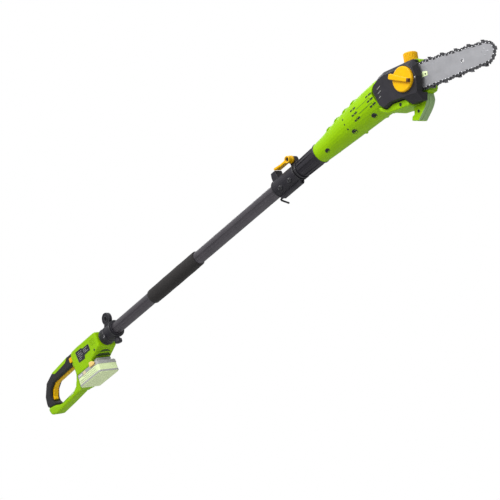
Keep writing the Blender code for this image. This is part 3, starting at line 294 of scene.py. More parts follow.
@dataclass(frozen=True)
class Grain:
    """Fine relief of a surface.

    Attributes:
        kind: the pattern.
        pitch: size of its features in metres.
        depth: height of the relief in metres.
        strength: how strongly it turns the light, from 0 to 1.
        stretch: how much longer features are along each axis.
    """

    kind: GrainKind
    pitch: float
    depth: float
    strength: float = 0.5
    stretch: Point = (1.0, 1.0, 1.0)

    def height(self, graph: Graph) -> bpy.types.NodeSocket:
        """Writes the relief's height.

        Args:
            graph: the material's tree.

        Returns:
            The height socket, about 0 to 1.
        """
        if self.kind is GrainKind.STIPPLE:
            return graph.span(graph.cells(self.pitch), 0.12, 0.42, 1.0, 0.0)
        if self.kind is GrainKind.CELLULAR:
            return graph.maths("MULTIPLY", graph.cells(self.pitch), graph.noise(self.pitch * 3))
        if self.kind is GrainKind.CAST:
            return graph.noise(self.pitch, self.stretch, 2, 0.4)
        if self.kind is GrainKind.BRUSHED:
            return graph.noise(self.pitch, self.stretch, 5, 0.7)
        return graph.maths("ADD", graph.noise(self.pitch, self.stretch, 2, 0.6),
                           graph.cells(self.pitch * 1.7))


SPARK = Grain(GrainKind.SPARK, 0.0006, 0.00004, 0.35)


@dataclass(frozen=True)
class Finish:
    """One procedural finish.

    Attributes:
        name: the material's name.
        colour: main colour, linear.
        shade: second colour that the main one drifts to.
        drift: share of the second colour at most.
        patch: size of the colour's patches in metres.
        roughness: middle roughness.
        spread: how far roughness varies.
        metallic: 0 for plastic, 1 for metal.
        grain: fine relief.
        edge: colour that edges are mixed towards, lighter than the body: partly wear, partly
            painted highlight.
        edge_wear_and_highlight: how much of an edge takes that colour, as wear and as painted
            highlight.
        round_edges: radius by which edges catch the light, in metres.
        sheen: weight of a soft bloom.
        clear: transmission of a see-through plastic.
        gloss: level of the mirror-like reflection.
    """

    name: str
    colour: Colour
    shade: Colour
    drift: float = 0.35
    patch: float = 0.020
    roughness: float = 0.45
    spread: float = 0.08
    metallic: float = 0.0
    grain: Grain = SPARK
    edge: Colour = (0.6, 0.6, 0.6)
    edge_wear_and_highlight: float = 0.15
    round_edges: float = 0.0006
    sheen: float = 0.0
    clear: float = 0.0
    gloss: float = 0.5

    def build(self) -> bpy.types.Material:
        """Makes the material.

        Returns:
            The new material.
        """
        material = bpy.data.materials.new(self.name)
        graph = Graph(material)
        shader = graph.shader
        patches = graph.noise(self.patch, (1, 1, 1), 4, 0.6)
        drift = graph.span(patches, 0.35, 0.70, 0.0, self.drift)
        colour = graph.mix(drift, self.colour, self.shade)
        specks = graph.span(graph.noise(self.grain.pitch * 2, self.grain.stretch, 2), 0.40, 0.75,
                            0.0, 0.30)
        colour = graph.mix(specks, colour, self.shade)
        rounded = graph.node("Bevel", samples=4)
        rounded.inputs["Radius"].default_value = self.round_edges
        surface = graph.node("NewGeometry")
        dot = graph.node("VectorMath", operation="DOT_PRODUCT")
        graph.feed(dot.inputs[0], rounded.outputs[0])
        graph.feed(dot.inputs[1], surface.outputs["Normal"])
        edge = graph.span(dot.outputs["Value"], 0.995, 0.90, 0.0, 1.0)
        # Edges are mixed towards the lighter edge colour: partly wear, partly a painted highlight
        # along every edge.
        worn_and_highlit_edge_mask = graph.maths("MULTIPLY", edge, graph.span(patches, 0.40, 0.60, 0.35, 1.0))
        worn_and_highlit_edge_mask = graph.maths("MULTIPLY", worn_and_highlit_edge_mask, self.edge_wear_and_highlight)
        colour = graph.mix(worn_and_highlit_edge_mask, colour, self.edge)
        graph.feed(shader.inputs["Base Color"], colour)
        smudges = graph.noise(self.patch * 0.6, (1, 1, 1), 5, 0.65)
        low, high = self.roughness - self.spread, self.roughness + self.spread
        graph.feed(shader.inputs["Roughness"], graph.span(smudges, 0.3, 0.7, low, high))
        bump = graph.node("Bump")
        bump.inputs["Strength"].default_value = self.grain.strength
        bump.inputs["Distance"].default_value = self.grain.depth
        graph.feed(bump.inputs["Height"], self.grain.height(graph))
        graph.feed(bump.inputs["Normal"], rounded.outputs[0])
        graph.feed(shader.inputs["Normal"], bump.outputs[0])
        shader.inputs["Metallic"].default_value = self.metallic
        shader.inputs["Specular IOR Level"].default_value = self.gloss
        shader.inputs["Sheen Weight"].default_value = self.sheen
        shader.inputs["Transmission Weight"].default_value = self.clear
        material.diffuse_color = (*self.colour, 1.0)
        return material


FINISHES: dict[Slot, Finish] = {
    Slot.LIME: Finish("lime_nylon", (0.300, 0.565, 0.000), (0.25, 0.49, 0.000), 0.45, 0.035, 0.42,
                      0.07, edge=(0.55, 0.82, 0.10), edge_wear_and_highlight=0.30,
                      round_edges=0.0010, gloss=0.14),
    Slot.BLACK: Finish("charcoal_nylon", (0.024, 0.022, 0.029), (0.014, 0.013, 0.017), 0.6, 0.02,
                       0.46, 0.10, edge=(0.16, 0.155, 0.17), edge_wear_and_highlight=0.50,
                       round_edges=0.0008, gloss=0.32),
    Slot.GREY: Finish("grey_nylon", (0.43, 0.43, 0.42), (0.34, 0.34, 0.33), 0.5, 0.02, 0.45,
                      0.08, edge=(0.45, 0.46, 0.46), edge_wear_and_highlight=0.4),
    Slot.YELLOW: Finish("yellow_acetal", (0.88, 0.50, 0.000), (0.80, 0.40, 0.000), 0.5, 0.015,
                        0.32, 0.06, grain=Grain(GrainKind.SPARK, 0.0008, 0.00002, 0.25),
                        edge=(1.0, 0.80, 0.30), edge_wear_and_highlight=0.25, gloss=0.2),
    Slot.PALE_GREEN: Finish("pale_green_nylon", (0.80, 0.93, 0.52), (0.72, 0.86, 0.44), 0.4,
                            0.02, 0.42, 0.07, edge=(0.88, 0.95, 0.70), edge_wear_and_highlight=0.3),
    Slot.TANK: Finish("milky_polythene", (0.55, 0.68, 0.30), (0.44, 0.57, 0.22), 0.4, 0.02, 0.38,
                      0.06, edge=(0.8, 0.9, 0.6), edge_wear_and_highlight=0.2, clear=0.25),
    Slot.RUBBER: Finish("stippled_elastomer", (0.020, 0.019, 0.021), (0.013, 0.012, 0.013), 0.5,
                        0.012, 0.66, 0.08, grain=Grain(GrainKind.STIPPLE, 0.0017, 0.00025, 0.7),
                        edge=(0.08, 0.08, 0.09), edge_wear_and_highlight=0.3, sheen=0.06, gloss=0.3),
    Slot.FOAM: Finish("closed_cell_foam", (0.017, 0.015, 0.015), (0.030, 0.027, 0.026), 0.6,
                      0.006, 0.82, 0.06, grain=Grain(GrainKind.CELLULAR, 0.0009, 0.0003, 0.8),
                      edge=(0.06, 0.055, 0.05), edge_wear_and_highlight=0.4, round_edges=0.0016, sheen=0.10,
                      gloss=0.25),
    Slot.TUBE: Finish("anodised_extrusion", (0.115, 0.105, 0.118), (0.075, 0.070, 0.080), 0.5,
                      0.03, 0.36, 0.07, metallic=0.70,
                      grain=Grain(GrainKind.BRUSHED, 0.0004, 0.00002, 0.35, (60, 1, 1)),
                      edge=(0.5, 0.5, 0.52), edge_wear_and_highlight=0.4),
    Slot.STEEL: Finish("zinc_plated_steel", (0.50, 0.50, 0.52), (0.36, 0.36, 0.37), 0.5, 0.004,
                       0.32, 0.10, metallic=1.0,
                       grain=Grain(GrainKind.BRUSHED, 0.0003, 0.00002, 0.3, (1, 8, 1)),
                       edge=(0.8, 0.8, 0.82), edge_wear_and_highlight=0.4, round_edges=0.0004),
    Slot.BAR: Finish("ground_bar_steel", (0.40, 0.40, 0.42), (0.34, 0.34, 0.355), 0.5, 0.03,
                     0.42, 0.08, metallic=0.55,
                     grain=Grain(GrainKind.BRUSHED, 0.0005, 0.00003, 0.4, (40, 1, 1)),
                     edge=(0.75, 0.75, 0.77), edge_wear_and_highlight=0.6, round_edges=0.0005),
    Slot.CHAIN: Finish("blued_chain_steel", (0.13, 0.13, 0.14), (0.06, 0.058, 0.06), 0.6, 0.005,
                       0.34, 0.12, metallic=0.95,
                       grain=Grain(GrainKind.BRUSHED, 0.0004, 0.00003, 0.4, (6, 1, 1)),
                       edge=(0.6, 0.6, 0.62), edge_wear_and_highlight=0.7, round_edges=0.0004),
    Slot.CAST: Finish("die_cast_alloy", (0.45, 0.45, 0.46), (0.34, 0.34, 0.35), 0.5, 0.01, 0.50,
                      0.10, metallic=0.9, grain=Grain(GrainKind.CAST, 0.0012, 0.00008, 0.5)),
    Slot.BRASS: Finish("stamped_brass", (0.62, 0.44, 0.18), (0.48, 0.33, 0.12), 0.4, 0.004, 0.30,
                       0.08, metallic=1.0,
                       grain=Grain(GrainKind.BRUSHED, 0.0003, 0.00002, 0.3, (8, 1, 1))),
    Slot.BOARD: Finish("solder_masked_board", (0.02, 0.16, 0.06), (0.012, 0.10, 0.04), 0.5,
                       0.004, 0.35, 0.08, grain=Grain(GrainKind.CAST, 0.0010, 0.00004, 0.4)),
    Slot.CELLS: Finish("shrink_wrapped_cells", (0.03, 0.14, 0.38), (0.02, 0.09, 0.28), 0.4, 0.01,
                       0.28, 0.08, grain=Grain(GrainKind.CAST, 0.003, 0.0001, 0.4)),
}


class Palette:
    """Builds each finish once and hands it out."""

    def __init__(self) -> None:
        """Starts with nothing built."""
        self._built: dict[str, bpy.types.Material] = {}

    def get(self, slot: Slot) -> bpy.types.Material:
        """The material of a slot.

        Args:
            slot: the record's slot.

        Returns:
            The slot's material.
        """
        return self.of(FINISHES[slot])

    def of(self, finish: Finish) -> bpy.types.Material:
        """The material of any finish.

        Args:
            finish: the finish to build.

        Returns:
            Its material.
        """
        if finish.name not in self._built:
            self._built[finish.name] = finish.build()
            LOG.info("finish %s", finish.name)
        return self._built[finish.name]


# --------------------------------------------------------------------------
# Workshop: shared mesh work
# --------------------------------------------------------------------------
Outline = list[tuple[float, float]]
UPRIGHT = Matrix(((1, 0, 0, 0), (0, 0, -1, 0), (0, 1, 0, 0), (0, 0, 0, 1)))
HEAD_LEAN = math.radians(18)
WORLD = Matrix.Identity(4)
ALONG_POLE = Matrix.Rotation(math.pi / 2, 4, "Y")
# How deep the foot of a raised piece, and of a hoop round the pole, is sunk.
ROOT = 0.001
HOOP_ROOT = 0.003
# Angles in degrees above which an edge of a piece, and of a solid node, stays crisp.
PIECE_CREASE = 35.0
NODE_CREASE = 28.0


def mm(*pairs: tuple[float, float]) -> Outline:
    """An outline written in millimetres, given back in metres."""
    return [(a * MM, b * MM) for a, b in pairs]


def side_plane(x: float, lean: float = 0.0, mirrored: bool = False) -> Matrix:
    """A drawing plane on the saw's side: local x and y lie in it, z points out of the saw.

    Args:
        x: where the plane's origin stands along the pole.
        lean: how far the plane's x axis dips, in radians.
        mirrored: true for the far side.

    Returns:
        The plane's matrix.
    """
    turn = Matrix.Translation((x, 0, 0)) @ Matrix.Rotation(lean, 4, "Y") @ UPRIGHT
    return turn @ Matrix.Diagonal((1, 1, -1, 1)) if mirrored else turn


def both_sides(x: float, lean: float = 0.0) -> tuple[tuple[str, Matrix], ...]:
    """The left and right drawing planes at a place along the pole, with their names."""
    return ("left", side_plane(x, lean)), ("right", side_plane(x, lean, True))


def rounded(points: Outline, radius: float, steps: int = 4) -> Outline:
    """Rounds an outline's corners.

    Args:
        points: the corners.
        radius: how far along its sides each corner is cut.
        steps: points on each corner's curve.

    Returns:
        The rounded outline.
    """
    result = []
    for k, corner in enumerate(points):
        here = Vector(corner)
        before = Vector(points[k - 1]) - here
        after = Vector(points[(k + 1) % len(points)]) - here
        reach = min(radius, before.length * 0.45, after.length * 0.45)
        start, end = here + before.normalized() * reach, here + after.normalized() * reach
        for step in range(steps + 1):
            t = step / steps
            result.append(tuple((1 - t) ** 2 * start + 2 * t * (1 - t) * here + t * t * end))
    return result


def grown(points: Outline, amount: float) -> Outline:
    """Moves each point of an anticlockwise outline outwards.

    Args:
        points: the outline.
        amount: distance, negative for inwards.

    Returns:
        The moved outline, with as many points.
    """
    area = sum(p[0] * q[1] - q[0] * p[1] for p, q in zip(points, points[1:] + points[:1]))
    sign = 1.0 if area > 0 else -1.0
    moved = []
    for k, point in enumerate(points):
        along = Vector(points[(k + 1) % len(points)]) - Vector(points[k - 1])
        normal = Vector((along.y, -along.x)).normalized() * sign
        moved.append((point[0] + normal.x * amount, point[1] + normal.y * amount))
    return moved


def ring(radius: float, count: int = 32, x: float = 0.0, y: float = 0.0) -> Outline:
    """A circle as an outline.

    Args:
        radius: its radius.
        count: its number of points.
        x: its centre.
        y: its centre.

    Returns:
        The outline.
    """
    turns = [math.tau * k / count for k in range(count)]
    return [(x + radius * math.cos(turn), y + radius * math.sin(turn)) for turn in turns]


def bar(x0: float, y0: float, x1: float, y1: float, width: float) -> Outline:
    """A straight strip with round ends, from one point to another.

    Args:
        x0: place of the first point.
        y0: place of the first point.
        x1: place of the second point.
        y1: place of the second point.
        width: the strip's width.

    Returns:
        The strip's outline.
    """
    along = math.atan2(y1 - y0, x1 - x0)
    half, result = width / 2, []
    for cx, cy, start in ((x1, y1, along - math.pi / 2), (x0, y0, along + math.pi / 2)):
        for k in range(7):
            turn = start + math.pi * k / 6
            result.append((cx + half * math.cos(turn), cy + half * math.sin(turn)))
    return result


class Former:
    """Collects the faces of one piece in metres, in a drawing plane's coordinates."""

    def __init__(self) -> None:
        """Starts empty."""
        self.points: list[Point] = []
        self.faces: list[tuple[int, ...]] = []

    def loft(self, rings: Sequence[Sequence[Point]], closed: bool = False) -> "Former":
        """Joins rings of equal length into a skin.

        Args:
            rings: the rings, in order.
            closed: whether the last ring joins the first one, where otherwise both are filled.

        Returns:
            The former itself.
        """
        start, count = len(self.points), len(rings[0])
        for row in rings:
            self.points.extend(tuple(p) for p in row)
        spans = len(rings) if closed else len(rings) - 1
        for i in range(spans):
            a, b = start + i * count, start + (i + 1) % len(rings) * count
            for j in range(count):
                k = (j + 1) % count
                self.faces.append((a + j, a + k, b + k, b + j))
        if not closed:
            self.faces.append(tuple(start + j for j in reversed(range(count))))
            self.faces.append(tuple(start + (len(rings) - 1) * count + j for j in range(count)))
        return self

    def plate(self, points: Outline, low: float, high: float, soft: float = 0.0002) -> "Former":
        """A flat plate with softened upper edges.

        Args:
            points: its outline.
            low: level of its lower face.
            high: level of its upper face.
            soft: width of the softening.

        Returns:
            The former itself.
        """
        levels = ((low, 0.0), (high - soft, 0.0), (high - soft * 0.3, -soft * 0.3), (high, -soft))
        return self.loft([[(x, y, z) for x, y in grown(points, inset)] for z, inset in levels])

    def strips(self, ends: Iterable[tuple[float, float, float, float]], width: float, low: float,
               high: float, soft: float = 0.0002) -> "Former":
        """Straight plates with round ends.

        Args:
            ends: both ends of each, as x, y, x and y in millimetres.
            width: their width in metres.
            low: level of their lower faces.
            high: level of their upper faces.
            soft: width of the softening.

        Returns:
            The former itself.
        """
        for strip in ends:
            self.plate(bar(*(value * MM for value in strip), width), low, high, soft)
        return self

    def frame(self, points: Outline, width: float, low: float, high: float) -> "Former":
        """A raised band that follows an outline inwards.

        Args:
            points: its outer outline.
            width: width of the band.
            low: level of its foot.
            high: level of its crest.

        Returns:
            The former itself.
        """
        section = ((0.0, low), (0.0, high - 0.2 * width), (-0.25 * width, high),
                   (-0.75 * width, high), (-width, high - 0.2 * width), (-width, low))
        return self.loft([[(x, y, z) for x, y in grown(points, inset)] for inset, z in section],
                         closed=True)

    def turned(self, profile: Outline, count: int = 32, x: float = 0.0, y: float = 0.0,
               closed: bool = False) -> "Former":
        """A turned shape about the plane's normal.

        Args:
            profile: (radius, level) pairs.
            count: steps round the axis.
            x: the axis's place.
            y: the axis's place.
            closed: whether the profile closes on itself.

        Returns:
            The former itself.
        """
        rings = [[(px, py, level) for px, py in ring(max(radius, 1e-6), count, x, y)]
                 for radius, level in profile]
        return self.loft(rings, closed=closed)

    def hoop(self, radius: float, proud: float, low: float, high: float, slant: float,
             count: int) -> "Former":
        """A band round the pole, with its outer corners cut off.

        Args:
            radius: radius of the surface it stands on.
            proud: how far it stands out.
            low: where it starts along the pole.
            high: where it ends.
            slant: how much its radius drops at the cut corners.
            count: steps round the pole.

        Returns:
            The former itself.
        """
        inner, outer, cut = radius - HOOP_ROOT, radius + proud, 0.0006
        return self.turned([(inner, low), (outer - slant, low), (outer, low + cut),
                            (outer, high - cut), (outer - slant, high), (inner, high)], count,
                           closed=True)

    def keel(self, angle: float, sections: Iterable[tuple[float, Outline]]) -> "Former":
        """A ridge that runs along the pole.

        Args:
            angle: its place round the pole, in degrees.
            sections: (distance along the pole, cross-section) pairs.

        Returns:
            The former itself.
        """
        turn = Matrix.Rotation(math.radians(angle), 3, "X")
        return self.loft([[tuple(Vector((x, 0, 0)) + turn @ Vector((0, y, z))) for y, z in section]
                          for x, section in sections])

    def dome(self, radius: float, low: float, height: float, x: float, y: float) -> "Former":
        """A rivet head.

        Args:
            radius: its radius.
            low: level of its foot.
            height: its height.
            x: place of its axis.
            y: place of its axis.

        Returns:
            The former itself.
        """
        profile = [(radius, low)] + [(radius * math.cos(t * math.pi / 8),
                                      low + height * math.sin(t * math.pi / 8)) for t in range(5)]
        return self.turned(profile[:-1] + [(radius * 0.05, low + height)], 14, x, y)

    def screw(self, radius: float, low: float, high: float, x: float, y: float) -> "Former":
        """A pan head with a six-lobed socket sunk in it.

        Args:
            radius: its radius.
            low: level of its foot.
            high: level of its top.
            x: place of its axis.
            y: place of its axis.

        Returns:
            The former itself.
        """
        outer = ring(radius, 24, x, y)
        socket = [(x + (0.50 + 0.09 * math.cos(6 * math.tau * k / 24)) * (px - x),
                   y + (0.50 + 0.09 * math.cos(6 * math.tau * k / 24)) * (py - y))
                  for k, (px, py) in enumerate(outer)]
        deep = low + 0.2 * (high - low)
        rows = ((outer, low), (outer, high - 0.15 * radius), (grown(outer, -0.15 * radius), high),
                (socket, high), (socket, deep))
        return self.loft([[(px, py, z) for px, py in row] for row, z in rows])


class Workshop:
    """Holds the frame and the finishes and makes pieces that ride on bodies."""

    def __init__(self, frame: dict, palette: Palette) -> None:
        """Keeps the frame.

        Args:
            palette: the finishes.
        """
        self.nodes = frame["nodes"]
        self.slots = {row["node"]: row["material_slot"]
                      for row in frame["record"].get("subparts", [])}
        self.palette = palette

    def piece(self, name: str, former: Former, plane: Matrix, body: Body, slot: Slot,
              finish: Optional[Finish] = None,
              replaces: Sequence[str] = ()) -> bpy.types.Object:
        """Turns a former into a piece that rides on a body.

        Args:
            name: the piece's name.
            former: its faces.
            plane: the drawing plane it was formed in.
            body: the body it rides on.
            slot: the record's material slot whose finish it takes when no finish of its own is
                given.
            finish: its own finish, where the slot's is not meant.
            replaces: CAD nodes it stands for.

        Returns:
            The piece.
        """
        mesh = bpy.data.meshes.new(name)
        mesh.from_pydata(former.points, [], former.faces)
        mesh.transform(plane)
        build = bmesh.new()
        build.from_mesh(mesh)
        bmesh.ops.recalc_face_normals(build, faces=build.faces)
        build.to_mesh(mesh)
        build.free()
        self.smooth(mesh, PIECE_CREASE)
        mesh.materials.append(self.palette.of(finish) if finish else self.palette.get(slot))
        made = bpy.data.objects.new(name, mesh)
        bpy.context.scene.collection.objects.link(made)
        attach(made, body.value)
        if replaces:
            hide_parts(*replaces)
        LOG.info("piece %s on %s", name, body.value)
        return made

    @staticmethod
    def smooth(mesh: bpy.types.Mesh, sharp: float) -> None:
        """Shades a mesh smooth up to an angle in degrees."""
        mesh.polygons.foreach_set("use_smooth", [True] * len(mesh.polygons))
        mesh.set_sharp_from_angle(angle=math.radians(sharp))

    def finish_rest(self) -> None:
        """Gives every CAD node that stays its slot's finish."""
        for name, node in self.nodes.items():
            finish = NODE_FINISHES.get(name, FINISHES[Slot(self.slots[name])])
            node.data.materials.clear()
            node.data.materials.append(self.palette.of(finish))
            node.data.polygons.foreach_set("material_index", [0] * len(node.data.polygons))
            self.smooth(node.data, NODE_CREASE)


# --------------------------------------------------------------------------
# Finishes of single pieces
# --------------------------------------------------------------------------
# Painted shade: near-black plates laid in screw wells, vents and slots for the shade inside them.
SHADOW = Finish("painted_recess_shade", (0.012, 0.012, 0.014), (0.007, 0.007, 0.008), 0.4, 0.01, 0.6,
                0.06, edge=(0.05, 0.05, 0.05), edge_wear_and_highlight=0.2)
# Painted shade: a darker lime for the vents' louvres and the housing's fine lines, standing for
# shade in recesses.
SHADED_LIME = Finish("painted_shade_lime", (0.12, 0.26, 0.002), (0.08, 0.19, 0.002), 0.4, 0.01, 0.55,
                   0.06, edge=(0.3, 0.5, 0.02), edge_wear_and_highlight=0.2)
# Painted reflection: a grey-green lime standing for the pale surround reflected on the hook's front
# face.
PAINTED_REFLECTION_LIME = Finish("lime_painted_reflection", (0.27, 0.42, 0.17), (0.21, 0.35, 0.13), 0.5, 0.015, 0.40, 0.07,
              edge=(0.6, 0.75, 0.4), edge_wear_and_highlight=0.5)
LABEL_INK = Finish("label_ink", (0.42, 0.42, 0.44), (0.30, 0.30, 0.32), 0.4, 0.01, 0.5, 0.05,
                   edge=(0.3, 0.3, 0.3), edge_wear_and_highlight=0.2)
# Painted shade on the yellow knob: a dark brown for its shadows.
YELLOW_SHADE = Finish("painted_shade_on_yellow", (0.10, 0.035, 0.004), (0.06, 0.02, 0.003), 0.4, 0.005, 0.5, 0.06,
               edge=(0.3, 0.15, 0.02), edge_wear_and_highlight=0.2)
SATIN_BLACK = Finish("satin_black_nylon", (0.020, 0.019, 0.023), (0.012, 0.012, 0.015), 0.5, 0.01,
                     0.34, 0.08, edge=(0.14, 0.14, 0.15), edge_wear_and_highlight=0.6)
TAN = Finish("tan_label", (0.72, 0.62, 0.40), (0.60, 0.50, 0.30), 0.4, 0.01, 0.5, 0.05,
             edge=(0.8, 0.7, 0.5), edge_wear_and_highlight=0.2)
WHITE = Finish("white_nylon", (0.82, 0.83, 0.80), (0.70, 0.71, 0.68), 0.3, 0.01, 0.45, 0.05,
               edge=(0.9, 0.9, 0.9), edge_wear_and_highlight=0.2)
BLACKENED = Finish("blackened_screw_steel", (0.030, 0.030, 0.033), (0.016, 0.016, 0.018), 0.5,
                   0.003, 0.36, 0.10, metallic=0.7,
                   grain=Grain(GrainKind.BRUSHED, 0.0003, 0.00002, 0.3), edge=(0.3, 0.3, 0.3),
                   edge_wear_and_highlight=0.5, round_edges=0.0003, gloss=0.3)
PALE_YELLOW = Finish("pale_yellow_acetal", (0.93, 0.66, 0.22), (0.82, 0.54, 0.14), 0.4, 0.012,
                     0.38, 0.06, edge=(1.0, 0.85, 0.5), edge_wear_and_highlight=0.35)

NODE_FINISHES: dict[str, Finish] = {
    "hex_key": BLACKENED,
    "lever_pin": BLACKENED,
    "hook_screw": BLACKENED,
    "clamp_bolt_1": SATIN_BLACK,
    "clamp_bolt_2": SATIN_BLACK,
}


# --------------------------------------------------------------------------
# Sub-assemblies
# --------------------------------------------------------------------------
@dataclass
class Assembly:
    """A part of the saw that is dressed on its own.

    Attributes:
        shop: the workshop that makes the pieces.
    """

    shop: Workshop

    def build(self) -> None:
        """Makes every piece of the assembly."""
        raise NotImplementedError

    def sunk_screw(self, name: str, plane: Matrix, spot: tuple[float, float], radii: Point,
                   levels: Point) -> None:
        """Makes a sunk screw on the head: its rim, its dark well and its own head.

        Args:
            name: the pieces' name without its last word.
            plane: the drawing plane.
            spot: the screw's centre in the plane.
            radii: radius of the rim, of the well and of the screw's head.
            levels: level of their feet, of the rim's crest and of the screw's top.
        """
        rim, well, head = radii
        foot, crest, top = levels
        self.shop.piece(f"{name}_rim", Former().frame(ring(rim, 28, *spot), 0.0012, foot, crest),
                        plane, Body.HEAD, Slot.LIME)
        # The well is a near-black plate of painted shade.
        self.shop.piece(f"{name}_well",
                        Former().plate(ring(well, 24, *spot), foot, crest - 0.00025, 0.0001),
                        plane, Body.HEAD, Slot.BLACK, SHADOW)
        self.shop.piece(f"{name}_head", Former().screw(head, foot, top, *spot), plane, Body.HEAD,
                        Slot.STEEL, BLACKENED)


@dataclass
class RearHandle(Assembly):
    """The closed rear handle with its label panel.

    Attributes:
        front: where the handle's front face stands along the pole.
        half: half the width of its body.
        panel: outline of the label panel.
        marks: (start, end, level) of the panel's marks, in millimetres.
        screws: the three shell screws: place in the side plane and how far out.
        rib_count: number of fine ribs on each side.
        facet_angle: lean of the top facet's normal, in degrees.
        arm_half: half the width of the lower arm.
        slope: the two ends of the sloping face above the battery.
    """

    front: float = -0.374
    half: float = 0.032
    panel: Outline = field(default_factory=lambda: mm(
        (-117, 8.5), (-113, -24), (-81, -25.5), (-77, -16), (-45, -15), (-46, 3.5), (-80, 4),
        (-85, 8.3)))
    marks: Sequence[Point] = (
        (-109, -96, 2.5), (-92, -86, 2.5), (-78, -56, -0.5), (-78, -64, -5.0), (-109, -90, -3),
        (-76, -54, -9.5), (-108, -98, -8.5), (-94, -84, -8.5), (-107, -90, -14), (-107, -96, -19))
    screws: Sequence[tuple[float, float, float]] = (
        (-0.0390, 0.0210, 0.0284), (-0.1010, 0.0200, 0.0284), (-0.0260, -0.0240, 0.0320))
    rib_count: int = 6
    facet_angle: float = 54.5
    arm_half: float = 0.0168
    slope: Outline = field(default_factory=lambda: mm((-54, -44), (-2, -23)))

    def build(self) -> None:
        """Makes the panel, the screws, the ribs and the vents."""
        self._panel()
        self._screws()
        for side, plane in both_sides(self.front):
            self._ribs(side, plane)
            self._arm_rib(side, plane)
        self._vents()

    def _panel(self) -> None:
        """Makes the label panel's rim and its plain marks."""
        near = side_plane(self.front)
        rim = Former().frame(grown(rounded(self.panel, 0.0025), 0.0006), 0.0022, self.half - ROOT,
                             self.half + 0.0011)
        self.shop.piece("label_rim", rim, near, Body.HANDLE, Slot.BLACK, SATIN_BLACK)
        marks = Former().strips([(x0, y, x1, y) for x0, x1, y in self.marks], 0.0013,
                                self.half - 0.0006, self.half + 0.00055, 0.0001)
        self.shop.piece("label_marks", marks, near, Body.HANDLE, Slot.GREY, LABEL_INK)

    def _screws(self) -> None:
        """Makes the three shell screws, two of them on the sloping top facet."""
        rims, wells, heads = Former(), Former(), Former()
        facet = Matrix.Rotation(math.radians(-self.facet_angle), 4, "X")
        for k, (x, y, out) in enumerate(self.screws):
            sloped = k < 2
            place = Matrix.Translation((self.front + x, -out, y)) @ (
                facet if sloped else WORLD) @ UPRIGHT
            for former, made in ((rims, Former().frame(ring(0.0044, 28), 0.0011, -0.0010, 0.0003)),
                                 (wells, Former().plate(ring(0.0036, 24), -0.0010, 0.0002, 0.0001)),
                                 (heads, Former().screw(0.0026, -0.0006, 0.0006, 0.0, 0.0))):
                start = len(former.points)
                former.points.extend(tuple(place @ Vector(p)) for p in made.points)
                former.faces.extend(tuple(start + i for i in face) for face in made.faces)
        self.shop.piece("handle_screw_rims", rims, WORLD, Body.HANDLE, Slot.LIME)
        self.shop.piece("handle_screw_wells", wells, WORLD, Body.HANDLE, Slot.LIME, SHADOW)
        self.shop.piece("handle_screw_heads", heads, WORLD, Body.HANDLE, Slot.STEEL, BLACKENED)

    def _ribs(self, side: str, plane: Matrix) -> None:
        """Makes the fine ribs on one side.

        Args:
            side: name of the side.
            plane: the side's drawing plane.
        """
        ribs = Former()
        for k in range(self.rib_count):
            y = 0.0085 - k * 0.0032
            ribs.plate(bar(-0.0380 + k * 0.0008, y, -0.0120 - k * 0.0004, y, 0.0011),
                       self.half - 0.0008, self.half + 0.00045)
        self.shop.piece(f"handle_ribs_{side}", ribs, plane, Body.HANDLE, Slot.LIME)

    def _vents(self) -> None:
        """Makes the two wide air slots on the sloping face above the battery."""
        (x0, z0), (x1, z1) = self.slope
        along = Vector((x1 - x0, 0, z1 - z0)).normalized()
        out = Vector((along.z, 0, -along.x))
        side = out.cross(along)
        plane = Matrix.Translation((self.front + x0, 0, z0)) @ Matrix(
            (along, side, out)).transposed().to_4x4()
        slots, lips, louvres = Former(), Former(), Former()
        for low, high, wide, narrow in ((0.0315, 0.0405, 0.0200, 0.0085),
                                        (0.0145, 0.0260, 0.0290, 0.0170)):
            outline = rounded([(low, -wide), (high, -narrow), (high, narrow), (low, wide)], 0.0015)
            slots.plate(outline, -0.0010, 0.0003, 0.0001)
            lips.frame(grown(outline, 0.0008), 0.0010, -0.0006, 0.0006)
            for k in range(1, 3):
                x = low + (high - low) * k / 3
                reach = wide + (narrow - wide) * k / 3 - 0.0012
                louvres.plate(bar(x, -reach, x, reach, 0.0010), -0.0004, 0.0008, 0.0001)
        self.shop.piece("handle_vent_slots", slots, plane, Body.HANDLE, Slot.LIME, SHADOW)
        self.shop.piece("handle_vent_lips", lips, plane, Body.HANDLE, Slot.LIME)
        # The louvres take the darker lime of painted shade.
        self.shop.piece("handle_vent_louvres", louvres, plane, Body.HANDLE, Slot.LIME, SHADED_LIME)

    def _arm_rib(self, side: str, plane: Matrix) -> None:
        """Makes the fine rib along the lower arm.

        Args:
            side: name of the side.
            plane: the side's drawing plane.
        """
        rib = Former().plate(bar(-0.205, -0.0775, -0.280, -0.0835, 0.0012), self.arm_half - 0.0008,
                             self.arm_half + 0.0004)
        self.shop.piece(f"handle_arm_rib_{side}", rib, plane, Body.HANDLE, Slot.LIME)


